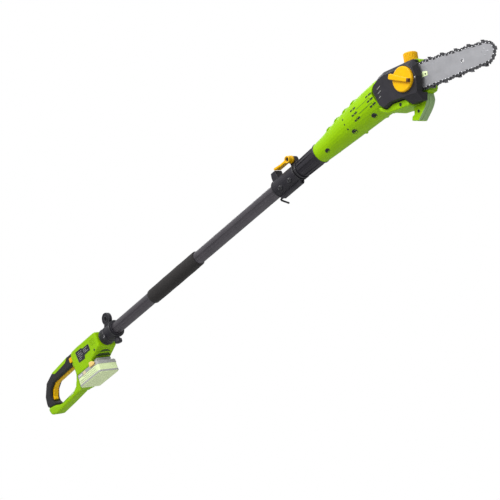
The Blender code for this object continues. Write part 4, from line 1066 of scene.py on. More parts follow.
@dataclass
class Grip(Assembly):
    """The soft grip, its lime inlay, the lock button and the trigger.

    Attributes:
        front: where the handle's front face stands along the pole.
        half: half the width of the grip.
        inlay_start: front end of the lime inlay, from the handle's front.
        inlay_end: its rear end.
        inlay_top: level of the grip's top edge at its front end.
        inlay_low: level of the grip's top edge at its rear end.
    """

    front: float = -0.374
    half: float = 0.0168
    inlay_start: float = -0.190
    inlay_end: float = -0.284
    inlay_top: float = 0.0270
    inlay_low: float = 0.0192

    def build(self) -> None:
        """Makes the grip's ribs and the button's and trigger's details."""
        for side, plane in both_sides(self.front):
            ribs = Former()
            for k in range(7):
                x = -0.2450 - 0.0105 * k
                drop = 0.00042 * k * k * 0.5
                ribs.plate(bar(x, 0.0090 - drop - 0.0002 * k, x - 0.0016, -0.0010 - drop, 0.0022),
                           self.half - 0.0010, self.half + 0.0004, 0.0003)
            self.shop.piece(f"grip_ribs_{side}", ribs, plane, Body.HANDLE, Slot.RUBBER)
        self._inlay()
        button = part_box("lock_button")
        mid = (button[0] + button[1]) / 2
        cap = Former()
        for k in (-1, 0, 1):
            cap.plate(bar(mid.x + k * 0.0042, mid.z - 0.0042, mid.x + k * 0.0042, mid.z + 0.0042,
                          0.0014), -button[0].y - 0.0005, -button[0].y + 0.0005)
        self.shop.piece("lock_button_ridges", cap, side_plane(0.0), Body.LOCK, Slot.YELLOW)
        for side, plane in both_sides(self.front):
            edge = Former().strips(((-196, -6.0, -288, -9.5), (-288, -9.5, -306, -21.0),
                                    (-306, -21.0, -319.5, -40.0)), 0.0016, 0.0062, 0.0074)
            self.shop.piece(f"trigger_bead_{side}", edge, plane, Body.TRIGGER, Slot.YELLOW)

    def _inlay(self) -> None:
        """Makes the lime inlay that wraps over the grip's top edge, and its ribs."""
        rows, steps = [], 16
        for k in range(steps + 1):
            t = k / steps
            x = self.inlay_start + (self.inlay_end - self.inlay_start) * t
            top = self.inlay_top + (self.inlay_low - self.inlay_top) * t
            drop = 0.0035 + 0.0085 * min(1.0, 7 * t, 7 * (1 - t))
            outer = ((self.half + 0.0004, -drop), (self.half + 0.0004, -0.0034),
                     (self.half - 0.0012, -0.0008), (self.half - 0.0038, 0.0005))
            inner = ((self.half - 0.0030, -drop + 0.0004), (self.half - 0.0050, -0.0030))
            across = [(y, z) for y, z in outer] + [(-y, z) for y, z in reversed(outer)]
            across += [(-y, z) for y, z in inner] + [(y, z) for y, z in reversed(inner)]
            rows.append([(self.front + x, y, top + z) for y, z in across])
        self.shop.piece("grip_inlay", Former().loft(rows), WORLD, Body.HANDLE,
                        Slot.LIME)
        ribs = Former()
        for k in range(7):
            t = 0.16 + 0.11 * k
            x = self.front + self.inlay_start + (self.inlay_end - self.inlay_start) * t
            top = self.inlay_top + (self.inlay_low - self.inlay_top) * t
            ribs.plate(bar(x, -0.0090, x, 0.0090, 0.0012), top - 0.0010, top + 0.0009, 0.0003)
        self.shop.piece("grip_inlay_ribs", ribs, WORLD, Body.HANDLE, Slot.LIME)


@dataclass
class BatteryPack(Assembly):
    """The slide-on battery.

    Attributes:
        rear: its rear end along the pole.
        length: its length.
        half: half its width.
        base: level of its underside.
    """

    rear: float = -0.516
    length: float = 0.112
    half: float = 0.034
    base: float = -0.092

    def build(self) -> None:
        """Makes the ribs, the latches, the windows and the base."""
        for (side, plane), latch in zip(both_sides(self.rear),
                                        (Body.LATCH_LEFT, Body.LATCH_RIGHT)):
            self._side(side, plane, latch)
        self._base()

    def _side(self, side: str, plane: Matrix, latch: Body) -> None:
        """Makes the pieces of one side of the battery.

        Args:
            side: name of the side.
            plane: the side's drawing plane.
            latch: the body of the side's latch.
        """
        ribs, lines = Former(), Former()
        for y, start, end in ((-68.0, 30, 98), (-73.5, 8, 102), (-79.0, 8, 102)):
            ribs.strips([(start, y, end, y)], 0.0030, self.half - ROOT, self.half + 0.0007, 0.0005)
            lines.strips([(start + 2, y - 2.6, end - 4, y - 2.6)], 0.0008, self.half - ROOT,
                         self.half + 0.00025, 0.0001)
        self.shop.piece(f"battery_ribs_{side}", ribs, plane, Body.BATTERY, Slot.PALE_GREEN)
        self.shop.piece(f"battery_lines_{side}", lines, plane, Body.BATTERY, Slot.GREY)
        wedge = rounded(mm((76, -61.2), (99, -61.2), (106, -57.0), (92, -48.0), (78, -46.5)),
                        0.0030)
        button = Former().plate(wedge, 0.0362, 0.0380, 0.0007)
        button.plate(bar(0.0872, -0.0590, 0.0968, -0.0590, 0.0038), 0.0340, 0.0364)
        for k in range(4):
            x = 0.0815 + 0.0042 * k
            button.plate(bar(x, -0.0595, x + 0.001, -0.0515, 0.0014), 0.0374, 0.0384)
        self.shop.piece(f"latch_button_{side}", button, plane, latch, Slot.YELLOW, PALE_YELLOW)
        window = Former().plate(rounded(mm((33, -66.5), (47, -66.5), (47, -56.5), (33, -56.5)),
                                        0.002), self.half - ROOT, self.half + 0.0006)
        self.shop.piece(f"battery_window_{side}", window, plane, Body.BATTERY, Slot.GREY, TAN)
        slot = Former().plate(bar(0.010, -0.0605, 0.026, -0.0605, 0.0030), self.half - ROOT,
                              self.half + 0.0005)
        self.shop.piece(f"battery_slot_{side}", slot, plane, Body.BATTERY, Slot.GREY, WHITE)

    def _base(self) -> None:
        """Makes the plate and the two bands round the battery's foot and lid."""
        x0, x1 = self.rear, self.rear + self.length
        outline = rounded([(x0, -self.half), (x1, -self.half), (x1, self.half), (x0, self.half)],
                          0.006, 6)
        band = Former().frame(grown(outline, 0.0004), 0.0022, self.base + 0.0026,
                              self.base + 0.0078)
        self.shop.piece("battery_base_band", band, WORLD, Body.BATTERY, Slot.GREY)
        self.shop.piece("battery_base_plate",
                        Former().plate(grown(outline, -0.0022), self.base - 0.0003,
                                       self.base + 0.0006, 0.0002), WORLD, Body.BATTERY,
                        Slot.PALE_GREEN)
        rim = Former().frame(grown(outline, 0.0005), 0.0030, -0.0655, -0.0615)
        self.shop.piece("battery_lid_rim", rim, WORLD, Body.BATTERY, Slot.GREY)


@dataclass
class PoleCollar(Assembly):
    """The black collar that clamps the pole to the handle, with its knob and strap eyelet.

    Attributes:
        rear: where the collar starts along the pole.
        front: where it ends.
        radius: its outer radius.
        boss: place of the bolt boss in the side plane.
    """

    rear: float = -0.3735
    front: float = -0.3092
    radius: float = 0.0237
    boss: tuple[float, float] = (-0.3486, -0.0077)

    def build(self) -> None:
        """Makes the flange, the bolt boss, the knob's cap and the eyelet's beads."""
        flange = Former()
        for x, width, proud in ((self.front - 0.0050, 0.0046, 0.0022),
                                (self.rear + 0.0035, 0.0030, 0.0010),
                                (self.rear + 0.0240, 0.0022, 0.0008)):
            flange.hoop(self.radius, proud, x - width / 2, x + width / 2, 0.0006, 64)
        self.shop.piece("collar_flanges", flange, ALONG_POLE, Body.HANDLE, Slot.BLACK, SATIN_BLACK)
        near = side_plane(0.0)
        x, z = self.boss
        self.shop.piece("collar_boss", Former().turned(
            [(0.0078, 0.018), (0.0074, 0.0246), (0.0066, 0.0254), (0.0048, 0.0254),
             (0.0046, 0.0230), (0.0044, 0.018)], 32, x, z, True),
            near, Body.HANDLE, Slot.BLACK)
        self.shop.piece("collar_boss_screw", Former().screw(0.0042, 0.0205, 0.0246, x, z), near,
                        Body.HANDLE, Slot.STEEL)
        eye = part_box("strap_eyelet")
        x, z = (eye[0].x + eye[1].x) / 2, (eye[1].z - 0.0185)
        beads = Former()
        for face in (0.0045, -0.0045):
            low = face - (0.0006 if face > 0 else 0.0009)
            high = low + 0.0015
            for outer, width in ((0.0178, 0.0022), (0.0090, 0.0024)):
                beads.turned([(outer - width, low), (outer, low), (outer, high),
                              (outer - width, high)], 48, x, z, True)
        self.shop.piece("eyelet_beads", beads, near, Body.HANDLE, Slot.BLACK, SATIN_BLACK)
        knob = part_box("collar_knob")
        x = (knob[0].x + knob[1].x) / 2
        below = Matrix.Translation((x, 0, 0)) @ Matrix.Rotation(math.pi, 4, "X")
        cap = Former().turned([(0.0052, -knob[0].z - 0.0005), (0.0052, -knob[0].z + 0.0003),
                               (0.0040, -knob[0].z + 0.0010), (0.0002, -knob[0].z + 0.0013)], 32)
        self.shop.piece("collar_knob_cap", cap, below, Body.COLLAR_KNOB, Slot.BLACK, SATIN_BLACK)


@dataclass
class Pole(Assembly):
    """The outer tube's drawn beads and its foam sleeve.

    Attributes:
        radius: the tube's outer radius.
        foam_half: half the foam's length.
        foam_radius: the foam's middle radius.
        beads: angles of the beads round the tube, in degrees.
    """

    radius: float = 0.01742
    foam_half: float = 0.114
    foam_radius: float = 0.0209
    beads: Sequence[float] = (186.0, 214.0, 6.0, 34.0)

    def build(self) -> None:
        """Makes the beads and the foam."""
        self._beads()
        self._foam()

    def _beads(self) -> None:
        """Makes the beads that run along the outer tube."""
        former = Former()
        for start, end in ((-0.3085, -0.1145), (0.1145, 0.4725)):
            for degrees in self.beads:
                rings = []
                for x in (start, end):
                    row = []
                    for step, lift in ((-3.0, -0.0004), (-2.0, 0.0003), (0.0, 0.0004),
                                       (2.0, 0.0003), (3.0, -0.0004)):
                        angle = math.radians(degrees + step)
                        reach = self.radius + lift
                        row.append((x, reach * math.cos(angle), reach * math.sin(angle)))
                    row.append((x, (self.radius - 0.001) * math.cos(math.radians(degrees)),
                                (self.radius - 0.001) * math.sin(math.radians(degrees))))
                    rings.append(row)
                former.loft(rings)
        self.shop.piece("tube_beads", former, WORLD, Body.HANDLE, Slot.TUBE)

    def _foam(self) -> None:
        """Makes the foam sleeve, with rounded ends and a moulding seam."""
        rings, steps, around = [], 76, 64
        inner = self.radius + 0.0003
        for k in range(steps + 1):
            t = k / steps
            x = -self.foam_half + 2 * self.foam_half * t
            edge = min(t, 1 - t) * 2 * self.foam_half
            lip = 0.0024 * max(0.0, 1 - edge / 0.0040) ** 2
            crown = 0.00035 * math.sin(math.pi * t)
            row = []
            for j in range(around):
                angle = math.tau * j / around
                wave = 0.00016 * math.sin(x * 95 + 2.1 * math.sin(angle)) * math.sin(2 * angle + 1)
                seam = 0.0005 * math.exp(-((angle - 1.5 * math.pi) / 0.05) ** 2)
                reach = self.foam_radius + crown + wave - lip - seam
                row.append((x, reach * math.cos(angle), reach * math.sin(angle)))
            rings.append(row)
        bore = self.foam_half - 0.0004
        ends = [[(x, y, z) for y, z in ring(inner, around)] for x in (bore, -bore)]
        foam = self.shop.piece("foam_sleeve", Former().loft(rings + ends, closed=True),
                               WORLD, Body.HANDLE, Slot.FOAM,
                               replaces=("foam_grip",))


@dataclass
class PoleClamp(Assembly):
    """The clamp that locks the telescoping pole.

    Attributes:
        rear: where it starts along the pole.
        length: its length.
        radius: its body's radius.
        bolts: places of its two bolts along it.
        bolt_angle: their angle round the pole in degrees.
        ridges: angles of its three ridges round the pole in degrees.
        pivot: the lever's pivot, along and above the pole.
    """

    rear: float = 0.473
    length: float = 0.090
    radius: float = 0.0227
    bolts: Sequence[float] = (0.026, 0.062)
    bolt_angle: float = 202.0
    ridges: Sequence[float] = (228.0, 242.0, 256.0)
    pivot: tuple[float, float] = (0.550, 0.0385)

    def build(self) -> None:
        """Makes the bolts' washers, the body's ridges and the lever's ribs."""
        near = side_plane(0.0)
        z = self.radius * math.sin(math.radians(self.bolt_angle))
        out = -self.radius * math.cos(math.radians(self.bolt_angle))
        washers, heads = Former(), Former()
        for along in self.bolts:
            x = self.rear + along
            washers.frame(ring(0.0078, 32, x, z), 0.0018, out - 0.007, out + 0.0004)
            heads.dome(0.0054, out - 0.0012, 0.0034, x, z)
            heads.frame(ring(0.0058, 32, x, z), 0.0012, out - 0.0020, out + 0.0004)
        self.shop.piece("clamp_bolt_collars", washers, near, Body.HANDLE, Slot.BLACK, SATIN_BLACK)
        self.shop.piece("clamp_bolt_heads", heads, near, Body.HANDLE, Slot.BLACK, SATIN_BLACK)
        rims = Former()
        for x in (self.rear + 0.0015, self.rear + self.length - 0.0035):
            outer = self.radius + 0.0008
            rims.turned([(self.radius - HOOP_ROOT, x - 0.0012), (outer, x - 0.0012),
                         (outer + 0.0002, x), (outer, x + 0.0012),
                         (self.radius - HOOP_ROOT, x + 0.0012)], 56, closed=True)
        self.shop.piece("clamp_end_rims", rims, ALONG_POLE, Body.HANDLE, Slot.BLACK, SATIN_BLACK)
        ridges = Former()
        foot, crest = self.radius - 0.0015, self.radius + 0.0006
        section = [(foot, -0.0012), (crest, -0.0005), (crest, 0.0005), (foot, 0.0012)]
        for angle in self.ridges:
            ridges.keel(angle, [(self.rear + 0.010, section),
                                (self.rear + self.length - 0.012, section)])
        self.shop.piece("clamp_ridges", ridges, WORLD, Body.HANDLE, Slot.BLACK)
        x, z = self.pivot
        hub = Former().frame(ring(0.0086, 36, x, z), 0.0022, 0.0160, 0.0177)
        for k in range(6):
            start = x - 0.020 - 0.0052 * k
            hub.plate(bar(start, z - 0.0014, start - 0.0008, z + 0.0026 + 0.0002 * k, 0.0018),
                      0.0140, 0.0160, 0.0004)
        self.shop.piece("lever_ridges", hub, near, Body.CAM, Slot.YELLOW)
        pad = rounded([(x - 0.0525, z - 0.0004), (x - 0.0330, z - 0.0020),
                       (x - 0.0300, z + 0.0024), (x - 0.0515, z + 0.0052)], 0.0018)
        self.shop.piece("lever_thumb_pad", Former().plate(pad, 0.0142, 0.0176, 0.0008), near,
                        Body.CAM, Slot.YELLOW)
        self.shop.piece("lever_hub_ring", Former().turned(
            [(0.0094, 0.0006), (0.0100, 0.0014), (0.0100, 0.0062), (0.0094, 0.0070),
             (0.0078, 0.0070), (0.0078, 0.0006)], 40, x, z, True), near, Body.CAM, Slot.YELLOW)


@dataclass
class HeadSleeve(Assembly):
    """The black sleeve between the pole and the head's housing.

    Attributes:
        rear: where it starts along the pole.
        length: its length.
        radius: its radius at the rear.
        front_radius: its radius at the front.
        fins: number of long fins round it.
    """

    rear: float = 0.5645
    length: float = 0.081
    radius: float = 0.0226
    front_radius: float = 0.0243
    fins: int = 12

    def build(self) -> None:
        """Makes the fins and the two rims."""
        fins = Former()
        sections = []
        for t, lift in ((0.12, -0.0006), (0.20, 0.0005), (0.84, 0.0006), (0.92, -0.0006)):
            base = self.radius + (self.front_radius - self.radius) * t
            foot, crest = base - 0.0020, base + lift
            sections.append((self.rear + self.length * t, [
                (foot, -0.0016), (crest, -0.0010), (crest, 0.0010), (foot, 0.0016)]))
        for k in range(self.fins):
            fins.keel(360.0 * (k + 0.5) / self.fins, sections)
        self.shop.piece("sleeve_fins", fins, WORLD, Body.HEAD, Slot.BLACK)
        rims = Former()
        for x, base, width in ((self.rear + 0.0030, self.radius, 0.0042),
                               (self.rear + self.length - 0.0016, self.front_radius + 0.0009,
                                0.0030)):
            rims.hoop(base, 0.0010, x - width / 2, x + width / 2, 0.0004, 56)
        self.shop.piece("sleeve_rims", rims, ALONG_POLE, Body.HEAD, Slot.BLACK, SATIN_BLACK)


@dataclass
class Housing(Assembly):
    """The lime motor housing.

    Attributes:
        joint: where it starts along the pole.
        stations: (distance, radius, rise of the centre) along it.
        screws: (distance, height) of its screws.
        fin_length: length of each fin on its shoulders.
    """

    joint: float = 0.6455
    stations: Sequence[tuple[float, float, float]] = (
        (0.0, 0.0251, 0.0), (0.038, 0.0278, 0.0004), (0.096, 0.0332, 0.003),
        (0.153, 0.037, 0.0042), (0.208, 0.0395, 0.0042), (0.244, 0.0414, 0.0028),
        (0.269, 0.0414, -0.0012))
    screws: Sequence[tuple[float, float]] = ((0.039, -0.0175), (0.136, -0.0255), (0.208, -0.0280))
    fin_length: float = 0.015

    def build(self) -> None:
        """Makes the screws' rims, the fine lines, the vents and the fins."""
        for side, plane in both_sides(self.joint):
            self._screws(side, plane)
            self._lines(side, plane)
            self._vents(side, plane)
        self._fins()

    def _section(self, along: float) -> tuple[float, float]:
        """Radius and rise of the housing at a distance along it.

        Args:
            along: the distance.

        Returns:
            The radius and the rise.
        """
        for (x0, r0, h0), (x1, r1, h1) in zip(self.stations, self.stations[1:]):
            if x0 <= along <= x1:
                t = (along - x0) / (x1 - x0)
                return r0 + t * (r1 - r0), h0 + t * (h1 - h0)
        return self.stations[-1][1], self.stations[-1][2]

    def level(self, along: float, height: float) -> float:
        """How far the housing's side stands out at a place on it."""
        radius, rise = self._section(along)
        return math.sqrt(max(radius ** 2 - (height - rise) ** 2, 0.0))

    def drape(self, former: Former, outline: Outline, foot: float, crest: float) -> None:
        """Lays a thin plate on the housing's side.

        Args:
            former: where its faces go.
            outline: its outline.
            foot: how deep its foot stands under the surface.
            crest: how far its top stands proud.
        """
        inner = grown(outline, -min(0.0002, crest + 0.0001))
        former.loft([[(x, y, self.level(x, y) - foot) for x, y in outline],
                     [(x, y, self.level(x, y) + crest * 0.5) for x, y in outline],
                     [(x, y, self.level(x, y) + crest) for x, y in inner]])

    def band(self, former: Former, outline: Outline, width: float, crest: float) -> None:
        """Lays a raised band on the housing's side, along an outline.

        Args:
            former: where its faces go.
            outline: its outer outline.
            width: its width.
            crest: how far it stands proud.
        """
        rows = []
        for inset, lift in ((0.0, -0.0015), (0.0, crest * 0.6), (-0.3 * width, crest),
                            (-0.7 * width, crest), (-width, crest * 0.4), (-width, -0.0015)):
            rows.append([(x, y, self.level(x, y) + lift) for x, y in grown(outline, inset)])
        former.loft(rows, closed=True)

    def _screws(self, side: str, plane: Matrix) -> None:
        """Makes the oval wells of one side's screws, with their rims and heads.

        Args:
            side: name of the side.
            plane: the side's drawing plane.
        """
        rims, wells, heads = Former(), Former(), Former()
        for x, y in self.screws:
            oval = [(x + 1.35 * (px - x), y + 0.76 * (py - y))
                    for px, py in ring(0.0058, 32, x, y)]
            self.band(rims, grown(oval, 0.0009), 0.0012, 0.0004)
            self.drape(wells, oval, 0.0030, 0.00015)
            heads.screw(0.0030, self.level(x, y) - 0.0030, self.level(x, y) + 0.0003, x, y)
        self.shop.piece(f"housing_screw_rims_{side}", rims, plane, Body.HEAD, Slot.LIME)
        self.shop.piece(f"housing_screw_wells_{side}", wells, plane, Body.HEAD, Slot.LIME, SHADOW)
        self.shop.piece(f"housing_screw_heads_{side}", heads, plane, Body.HEAD, Slot.STEEL,
                        BLACKENED)

    def _lines(self, side: str, plane: Matrix) -> None:
        """Makes the two fine lines of painted shade, in a darker lime, between one side's vents.

        Args:
            side: name of the side.
            plane: the side's drawing plane.
        """
        lines = Former()
        for y, start, end in ((0.0062, 0.1780, 0.2270), (-0.0066, 0.1800, 0.2290)):
            steps = 6
            for k in range(steps):
                x0 = start + (end - start) * k / steps
                x1 = start + (end - start) * (k + 1) / steps
                self.drape(lines, [(x0, y - 0.0006), (x1, y - 0.0006), (x1, y + 0.0006),
                                   (x0, y + 0.0006)], 0.0010, 0.00015)
        self.shop.piece(f"housing_lines_{side}", lines, plane, Body.HEAD, Slot.LIME, SHADED_LIME)

    def _vents(self, side: str, plane: Matrix) -> None:
        """Makes one side's vents with their lips.

        Args:
            side: name of the side.
            plane: the side's drawing plane.
        """
        slots, lips = Former(), Former()
        for x, length in ((0.2320, 0.0080), (0.2205, 0.0055), (0.1730, 0.0070), (0.1620, 0.0045)):
            for y in (0.0125, 0.0, -0.0128):
                slot = bar(x - length / 2, y, x + length / 2, y, 0.0036)
                self.drape(slots, slot, 0.0012, 0.00018)
                self.band(lips, grown(slot, 0.0005), 0.0006, 0.0003)
        for y in (0.0104, -0.0027, -0.0150):
            self.drape(slots, [(0.1255, y - 0.0016), (0.1290, y - 0.0016),
                               (0.1290, y + 0.0016), (0.1255, y + 0.0016)], 0.0012, 0.00018)
        self.shop.piece(f"housing_vents_{side}", slots, plane, Body.HEAD, Slot.BLACK, SHADOW)
        self.shop.piece(f"housing_vent_lips_{side}", lips, plane, Body.HEAD, Slot.LIME)

    def _fins(self) -> None:
        """Makes the short fins on the housing's shoulders."""
        fins = Former()
        for x in (0.058, 0.092, 0.126, 0.158):
            for degrees in (14.0, 27.0, 40.0, -14.0, -27.0, -40.0):
                angle = math.radians(degrees)
                radial = Vector((0.0, -math.sin(angle), math.cos(angle)))
                across = Vector((0.0, math.cos(angle), math.sin(angle)))
                rows = []
                for t, lift in ((0.0, -0.0010), (0.45, 0.0014), (0.80, 0.0030), (1.0, 0.0026),
                                (1.06, -0.0010)):
                    along = x + self.fin_length * (t - 0.5)
                    radius, rise = self._section(along)
                    foot = Vector((self.joint + along, 0.0, rise)) + radial * (radius - 0.0020)
                    top = Vector((self.joint + along, 0.0, rise)) + radial * (radius + lift)
                    rows.append([tuple(foot - across * 0.0012), tuple(top - across * 0.0007),
                                 tuple(top + across * 0.0007), tuple(foot + across * 0.0012)])
                fins.loft(rows)
        self.shop.piece("housing_fins", fins, WORLD, Body.HEAD, Slot.LIME)


@dataclass
class SprocketCover(Assembly):
    """The charcoal cover over the sprocket, with its knob.

    Attributes:
        axis: where the sprocket's axis crosses the pole's line.
        face: how far the cover's face stands out.
        stud: distance of the knob's axis from the sprocket's.
        knob_radius: radius of the knob.
        shaded_front_wall: upper and lower edge points of the cover's front wall, which gets a
            near-black sheet of painted shade.
        slots: both ends of each slot in the cover, in millimetres.
        bar_turn: turn of the knob's grip bar from the cover's own line, in degrees.
    """

    axis: float = 0.926
    face: float = 0.0460
    stud: float = 0.062
    knob_radius: float = 0.0280
    shaded_front_wall: Sequence[tuple[Point, Point]] = (
        ((0.0900, 0.0200, 0.0460), (0.0938, 0.0280, 0.0305)),
        ((0.0965, -0.0030, 0.0460), (0.1008, -0.0030, 0.0305)),
        ((0.0930, -0.0325, 0.0460), (0.0960, -0.0355, 0.0305)))
    slots: Sequence[tuple[float, float, float, float]] = (
        (-10, 2, -27.5, -8.5), (-9.5, -8.5, -25.5, -18), (-12, -20.5, -21.5, -26))
    bar_turn: float = -20.0

    def build(self) -> None:
        """Makes the cover's slots and front tongue, the ledge's screw and the knob."""
        plane = side_plane(self.axis, HEAD_LEAN)
        slots = Former().strips(self.slots, 0.0034, self.face - ROOT, self.face + 0.0002, 0.0001)
        # Painted highlights: short grey strips at each slot's upper end stand for the light caught
        # there.
        glints = Former().strips(
            [(x0, y0 + 1.9, (x0 + x1) / 2, (y0 + y1) / 2 + 1.9) for x0, y0, x1, y1 in self.slots],
            0.0011, self.face - ROOT, self.face + 0.0008)
        self.shop.piece("cover_slots", slots, plane, Body.HEAD, Slot.BLACK, SHADOW)
        self.shop.piece("cover_slot_painted_glints", glints, plane, Body.HEAD, Slot.GREY)
        # Painted shade: a dark satin-black ring round the knob's foot stands for the shadow ring
        # there.
        rim = Former().frame(ring(self.knob_radius + 0.0030, 64, self.stud, 0.0), 0.0024,
                             self.face - 0.0006, self.face + 0.0009)
        self.shop.piece("knob_painted_shade_ring", rim, plane, Body.HEAD, Slot.BLACK, SATIN_BLACK)
        # Painted shade: a near-black sheet on the cover's front wall stands for the dark gap
        # between cover and bar.
        front_shade_sheet = Former()
        for (a0, b0), (a1, b1) in zip(self.shaded_front_wall, self.shaded_front_wall[1:]):
            outline = [Vector(a0), Vector(b0), Vector(b1), Vector(a1)]
            out = (outline[1] - outline[0]).cross(outline[3] - outline[0]).normalized()
            out = out if out.x > 0 else -out
            middle = sum(outline, Vector()) / 4
            front_shade_sheet.loft([[tuple(middle + (p - middle) * 0.96 - out * 0.0008) for p in outline],
                         [tuple(middle + (p - middle) * 0.96 + out * 0.0004) for p in outline]])
        self.shop.piece("cover_front_painted_shade", front_shade_sheet, plane, Body.HEAD, Slot.BLACK, SHADOW)
        tongue = Former().plate(rounded(mm((86, -7.0), (95.8, -6.0), (95.8, -2.0), (86, -0.5)),
                                        0.001), self.face - 0.0012, self.face + 0.0004)
        self.shop.piece("cover_tongue", tongue, plane, Body.HEAD, Slot.STEEL)
        self.sunk_screw("ledge_screw", plane, (0.032, -0.0481), (0.0052, 0.0040, 0.0030),
                        (0.0300, 0.0350, 0.0352))
        self._knob(plane)

    def _knob(self, plane: Matrix) -> None:
        """Makes the rim of the cover's knob, dark brown strips of painted shadow beside its grip
        bar and a dark brown block of painted shade at the bar's end.

        Args:
            plane: the cover's drawing plane.
        """
        turn = plane @ Matrix.Translation((self.stud, 0, 0)) @ Matrix.Rotation(
            math.radians(self.bar_turn), 4, "Z")
        rim = Former().frame(ring(self.knob_radius - 0.0004, 72), 0.0016, 0.0500, 0.0518)
        for k in range(48):
            angle = math.tau * k / 48
            c, s = math.cos(angle), math.sin(angle)
            reach = self.knob_radius
            rim.plate(bar(reach * c, reach * s, (reach - 0.0006) * c, (reach - 0.0006) * s,
                          0.0011), 0.0470, 0.0496)
        self.shop.piece("knob_rim", rim, turn, Body.COVER_KNOB, Slot.YELLOW)
        # Painted shadow: dark brown strips above and below the knob's grip bar.
        shades = Former().strips(((2.0, 8.8, 19.0, 6.2), (-2.0, -7.2, -17.0, -6.6)), 0.0016,
                                 0.0500, 0.05145, 0.0001)
        self.shop.piece("knob_painted_shadows", shades, turn, Body.COVER_KNOB, Slot.YELLOW, YELLOW_SHADE)
        # Painted shade: a dark brown block at the grip bar's end.
        end = Former().plate(rounded([(0.0205, -0.0046), (0.0262, -0.0046), (0.0262, 0.0036),
                                      (0.0205, 0.0036)], 0.001), 0.0500, 0.0612, 0.0006)
        self.shop.piece("knob_end_painted_shade", end, turn, Body.COVER_KNOB, Slot.YELLOW, YELLOW_SHADE)


@dataclass
class OilCap(Assembly):
    """The ribbed cap of the chain oil tank.

    Attributes:
        axis: where the sprocket's axis crosses the pole's line.
        along: distance of the cap's axis from the sprocket's.
        across: the cap's place across the saw.
        radius: the cap's radius.
        low: level of its skirt.
        high: level of its top.
        ribs: number of ribs round it.
    """

    axis: float = 0.926
    along: float = 0.049
    across: float = 0.003
    radius: float = 0.0158
    low: float = 0.0445
    high: float = 0.0660
    ribs: int = 30

    def build(self) -> None:
        """Makes the ribs and the top's raised ring."""
        stand = (Matrix.Translation((self.axis, 0, 0)) @ Matrix.Rotation(HEAD_LEAN, 4, "Y")
                 @ Matrix.Translation((self.along, self.across, 0)))
        former = Former()
        for k in range(self.ribs):
            angle = math.tau * k / self.ribs
            c, s = math.cos(angle), math.sin(angle)
            former.plate(bar((self.radius - 0.0008) * c, (self.radius - 0.0008) * s,
                             (self.radius - 0.0002) * c, (self.radius - 0.0002) * s, 0.0013),
                         self.low, self.high - 0.0014, 0.0004)
        former.frame(ring(self.radius - 0.0024, 48), 0.0012, self.high - 0.0010,
                     self.high + 0.0005)
        former.plate(bar(-0.0085, 0.0, 0.0085, 0.0, 0.0030), self.high - 0.0010,
                     self.high + 0.0010, 0.0006)
        self.shop.piece("oil_cap_ribs", former, stand, Body.OIL_CAP, Slot.YELLOW)


@dataclass
class BranchHook(Assembly):
    """The hook that holds a cut branch.

    Attributes:
        axis: where the sprocket's axis crosses the pole's line.
        half: half its thickness.
        front: points along its curved front edge.
        screw: centre of its screw.
    """

    axis: float = 0.926
    half: float = 0.0133
    front: Outline = field(default_factory=lambda: mm(
        (88.9, -37), (90.0, -44), (90.2, -51), (86.8, -58.5), (81.8, -66), (74.8, -73.8),
        (67.3, -81), (59.0, -89.2)))
    screw: tuple[float, float] = (0.0625, -0.0700)

    def build(self) -> None:
        """Makes the front face, its ribs and the screw's rim."""
        plane = side_plane(self.axis, HEAD_LEAN)
        face = Former()
        for low, high, proud in ((-self.half, -0.0052, 0.0005), (-0.0046, 0.0046, 0.0009),
                                 (0.0052, self.half, 0.0005)):
            rows = []
            for k, (x, y) in enumerate(self.front):
                before = Vector(self.front[max(k - 1, 0)])
                after = Vector(self.front[min(k + 1, len(self.front) - 1)])
                along = (after - before).normalized()
                nx, ny = -along.y, along.x
                rows.append([(x - nx * 0.001, y - ny * 0.001, low),
                             (x + nx * proud, y + ny * proud, low),
                             (x + nx * proud, y + ny * proud, high),
                             (x - nx * 0.001, y - ny * 0.001, high)])
            face.loft(rows)
        # The front face carries a grey-green painted reflection.
        self.shop.piece("hook_front_face", face, plane, Body.HEAD, Slot.LIME, PAINTED_REFLECTION_LIME)
        self.sunk_screw("hook_screw", plane, self.screw, (0.0048, 0.0037, 0.0028),
                        (0.0120, 0.0142, 0.0142))


@dataclass
class GuideBar(Assembly):
    """The guide bar's stamped and riveted details.

    Attributes:
        axis: where the sprocket's axis crosses the pole's line.
        plane_out: how far the bar's middle stands out.
        half: half its thickness.
        nose: centre of its nose wheel along it.
    """

    axis: float = 0.926
    plane_out: float = 0.0220
    half: float = 0.0023
    nose: float = 0.275

    def build(self) -> None:
        """Makes the window, the hole's rim and the rivets on both faces."""
        for side, (_, plane), offset in zip(("near", "far"), both_sides(self.axis, HEAD_LEAN),
                                            (self.plane_out, -self.plane_out)):
            face = offset + self.half
            rim = Former().frame(ring(0.0047, 32, 0.2110, 0.0), 0.0011, face - 0.0005,
                                 face + 0.00012)
            rim.dome(0.0016, face - 0.0001, 0.0006, self.nose - 0.003, -0.0045)
            rim.dome(0.0016, face - 0.0001, 0.0006, self.nose + 0.004, 0.0022)
            rim.dome(0.0013, face - 0.0001, 0.0005, self.nose - 0.010, 0.0045)
            rim.dome(0.0013, face - 0.0001, 0.0005, self.nose - 0.004, 0.0092)
            self.shop.piece(f"bar_rivets_{side}", rim, plane, Body.BAR, Slot.STEEL)
            window = Former().plate(rounded(mm((95, -4.5), (112, -3.5), (113, 5.5), (98, 8)),
                                            0.0015), face - 0.0005, face + 0.0003, 0.0001)
            self.shop.piece(f"bar_window_{side}", window, plane, Body.BAR, Slot.PALE_GREEN)
            dot = Former().dome(0.0021, face + 0.0002, 0.0008, 0.1065, 0.0008)
            self.shop.piece(f"bar_tensioner_{side}", dot, plane, Body.BAR, Slot.STEEL, SHADOW)


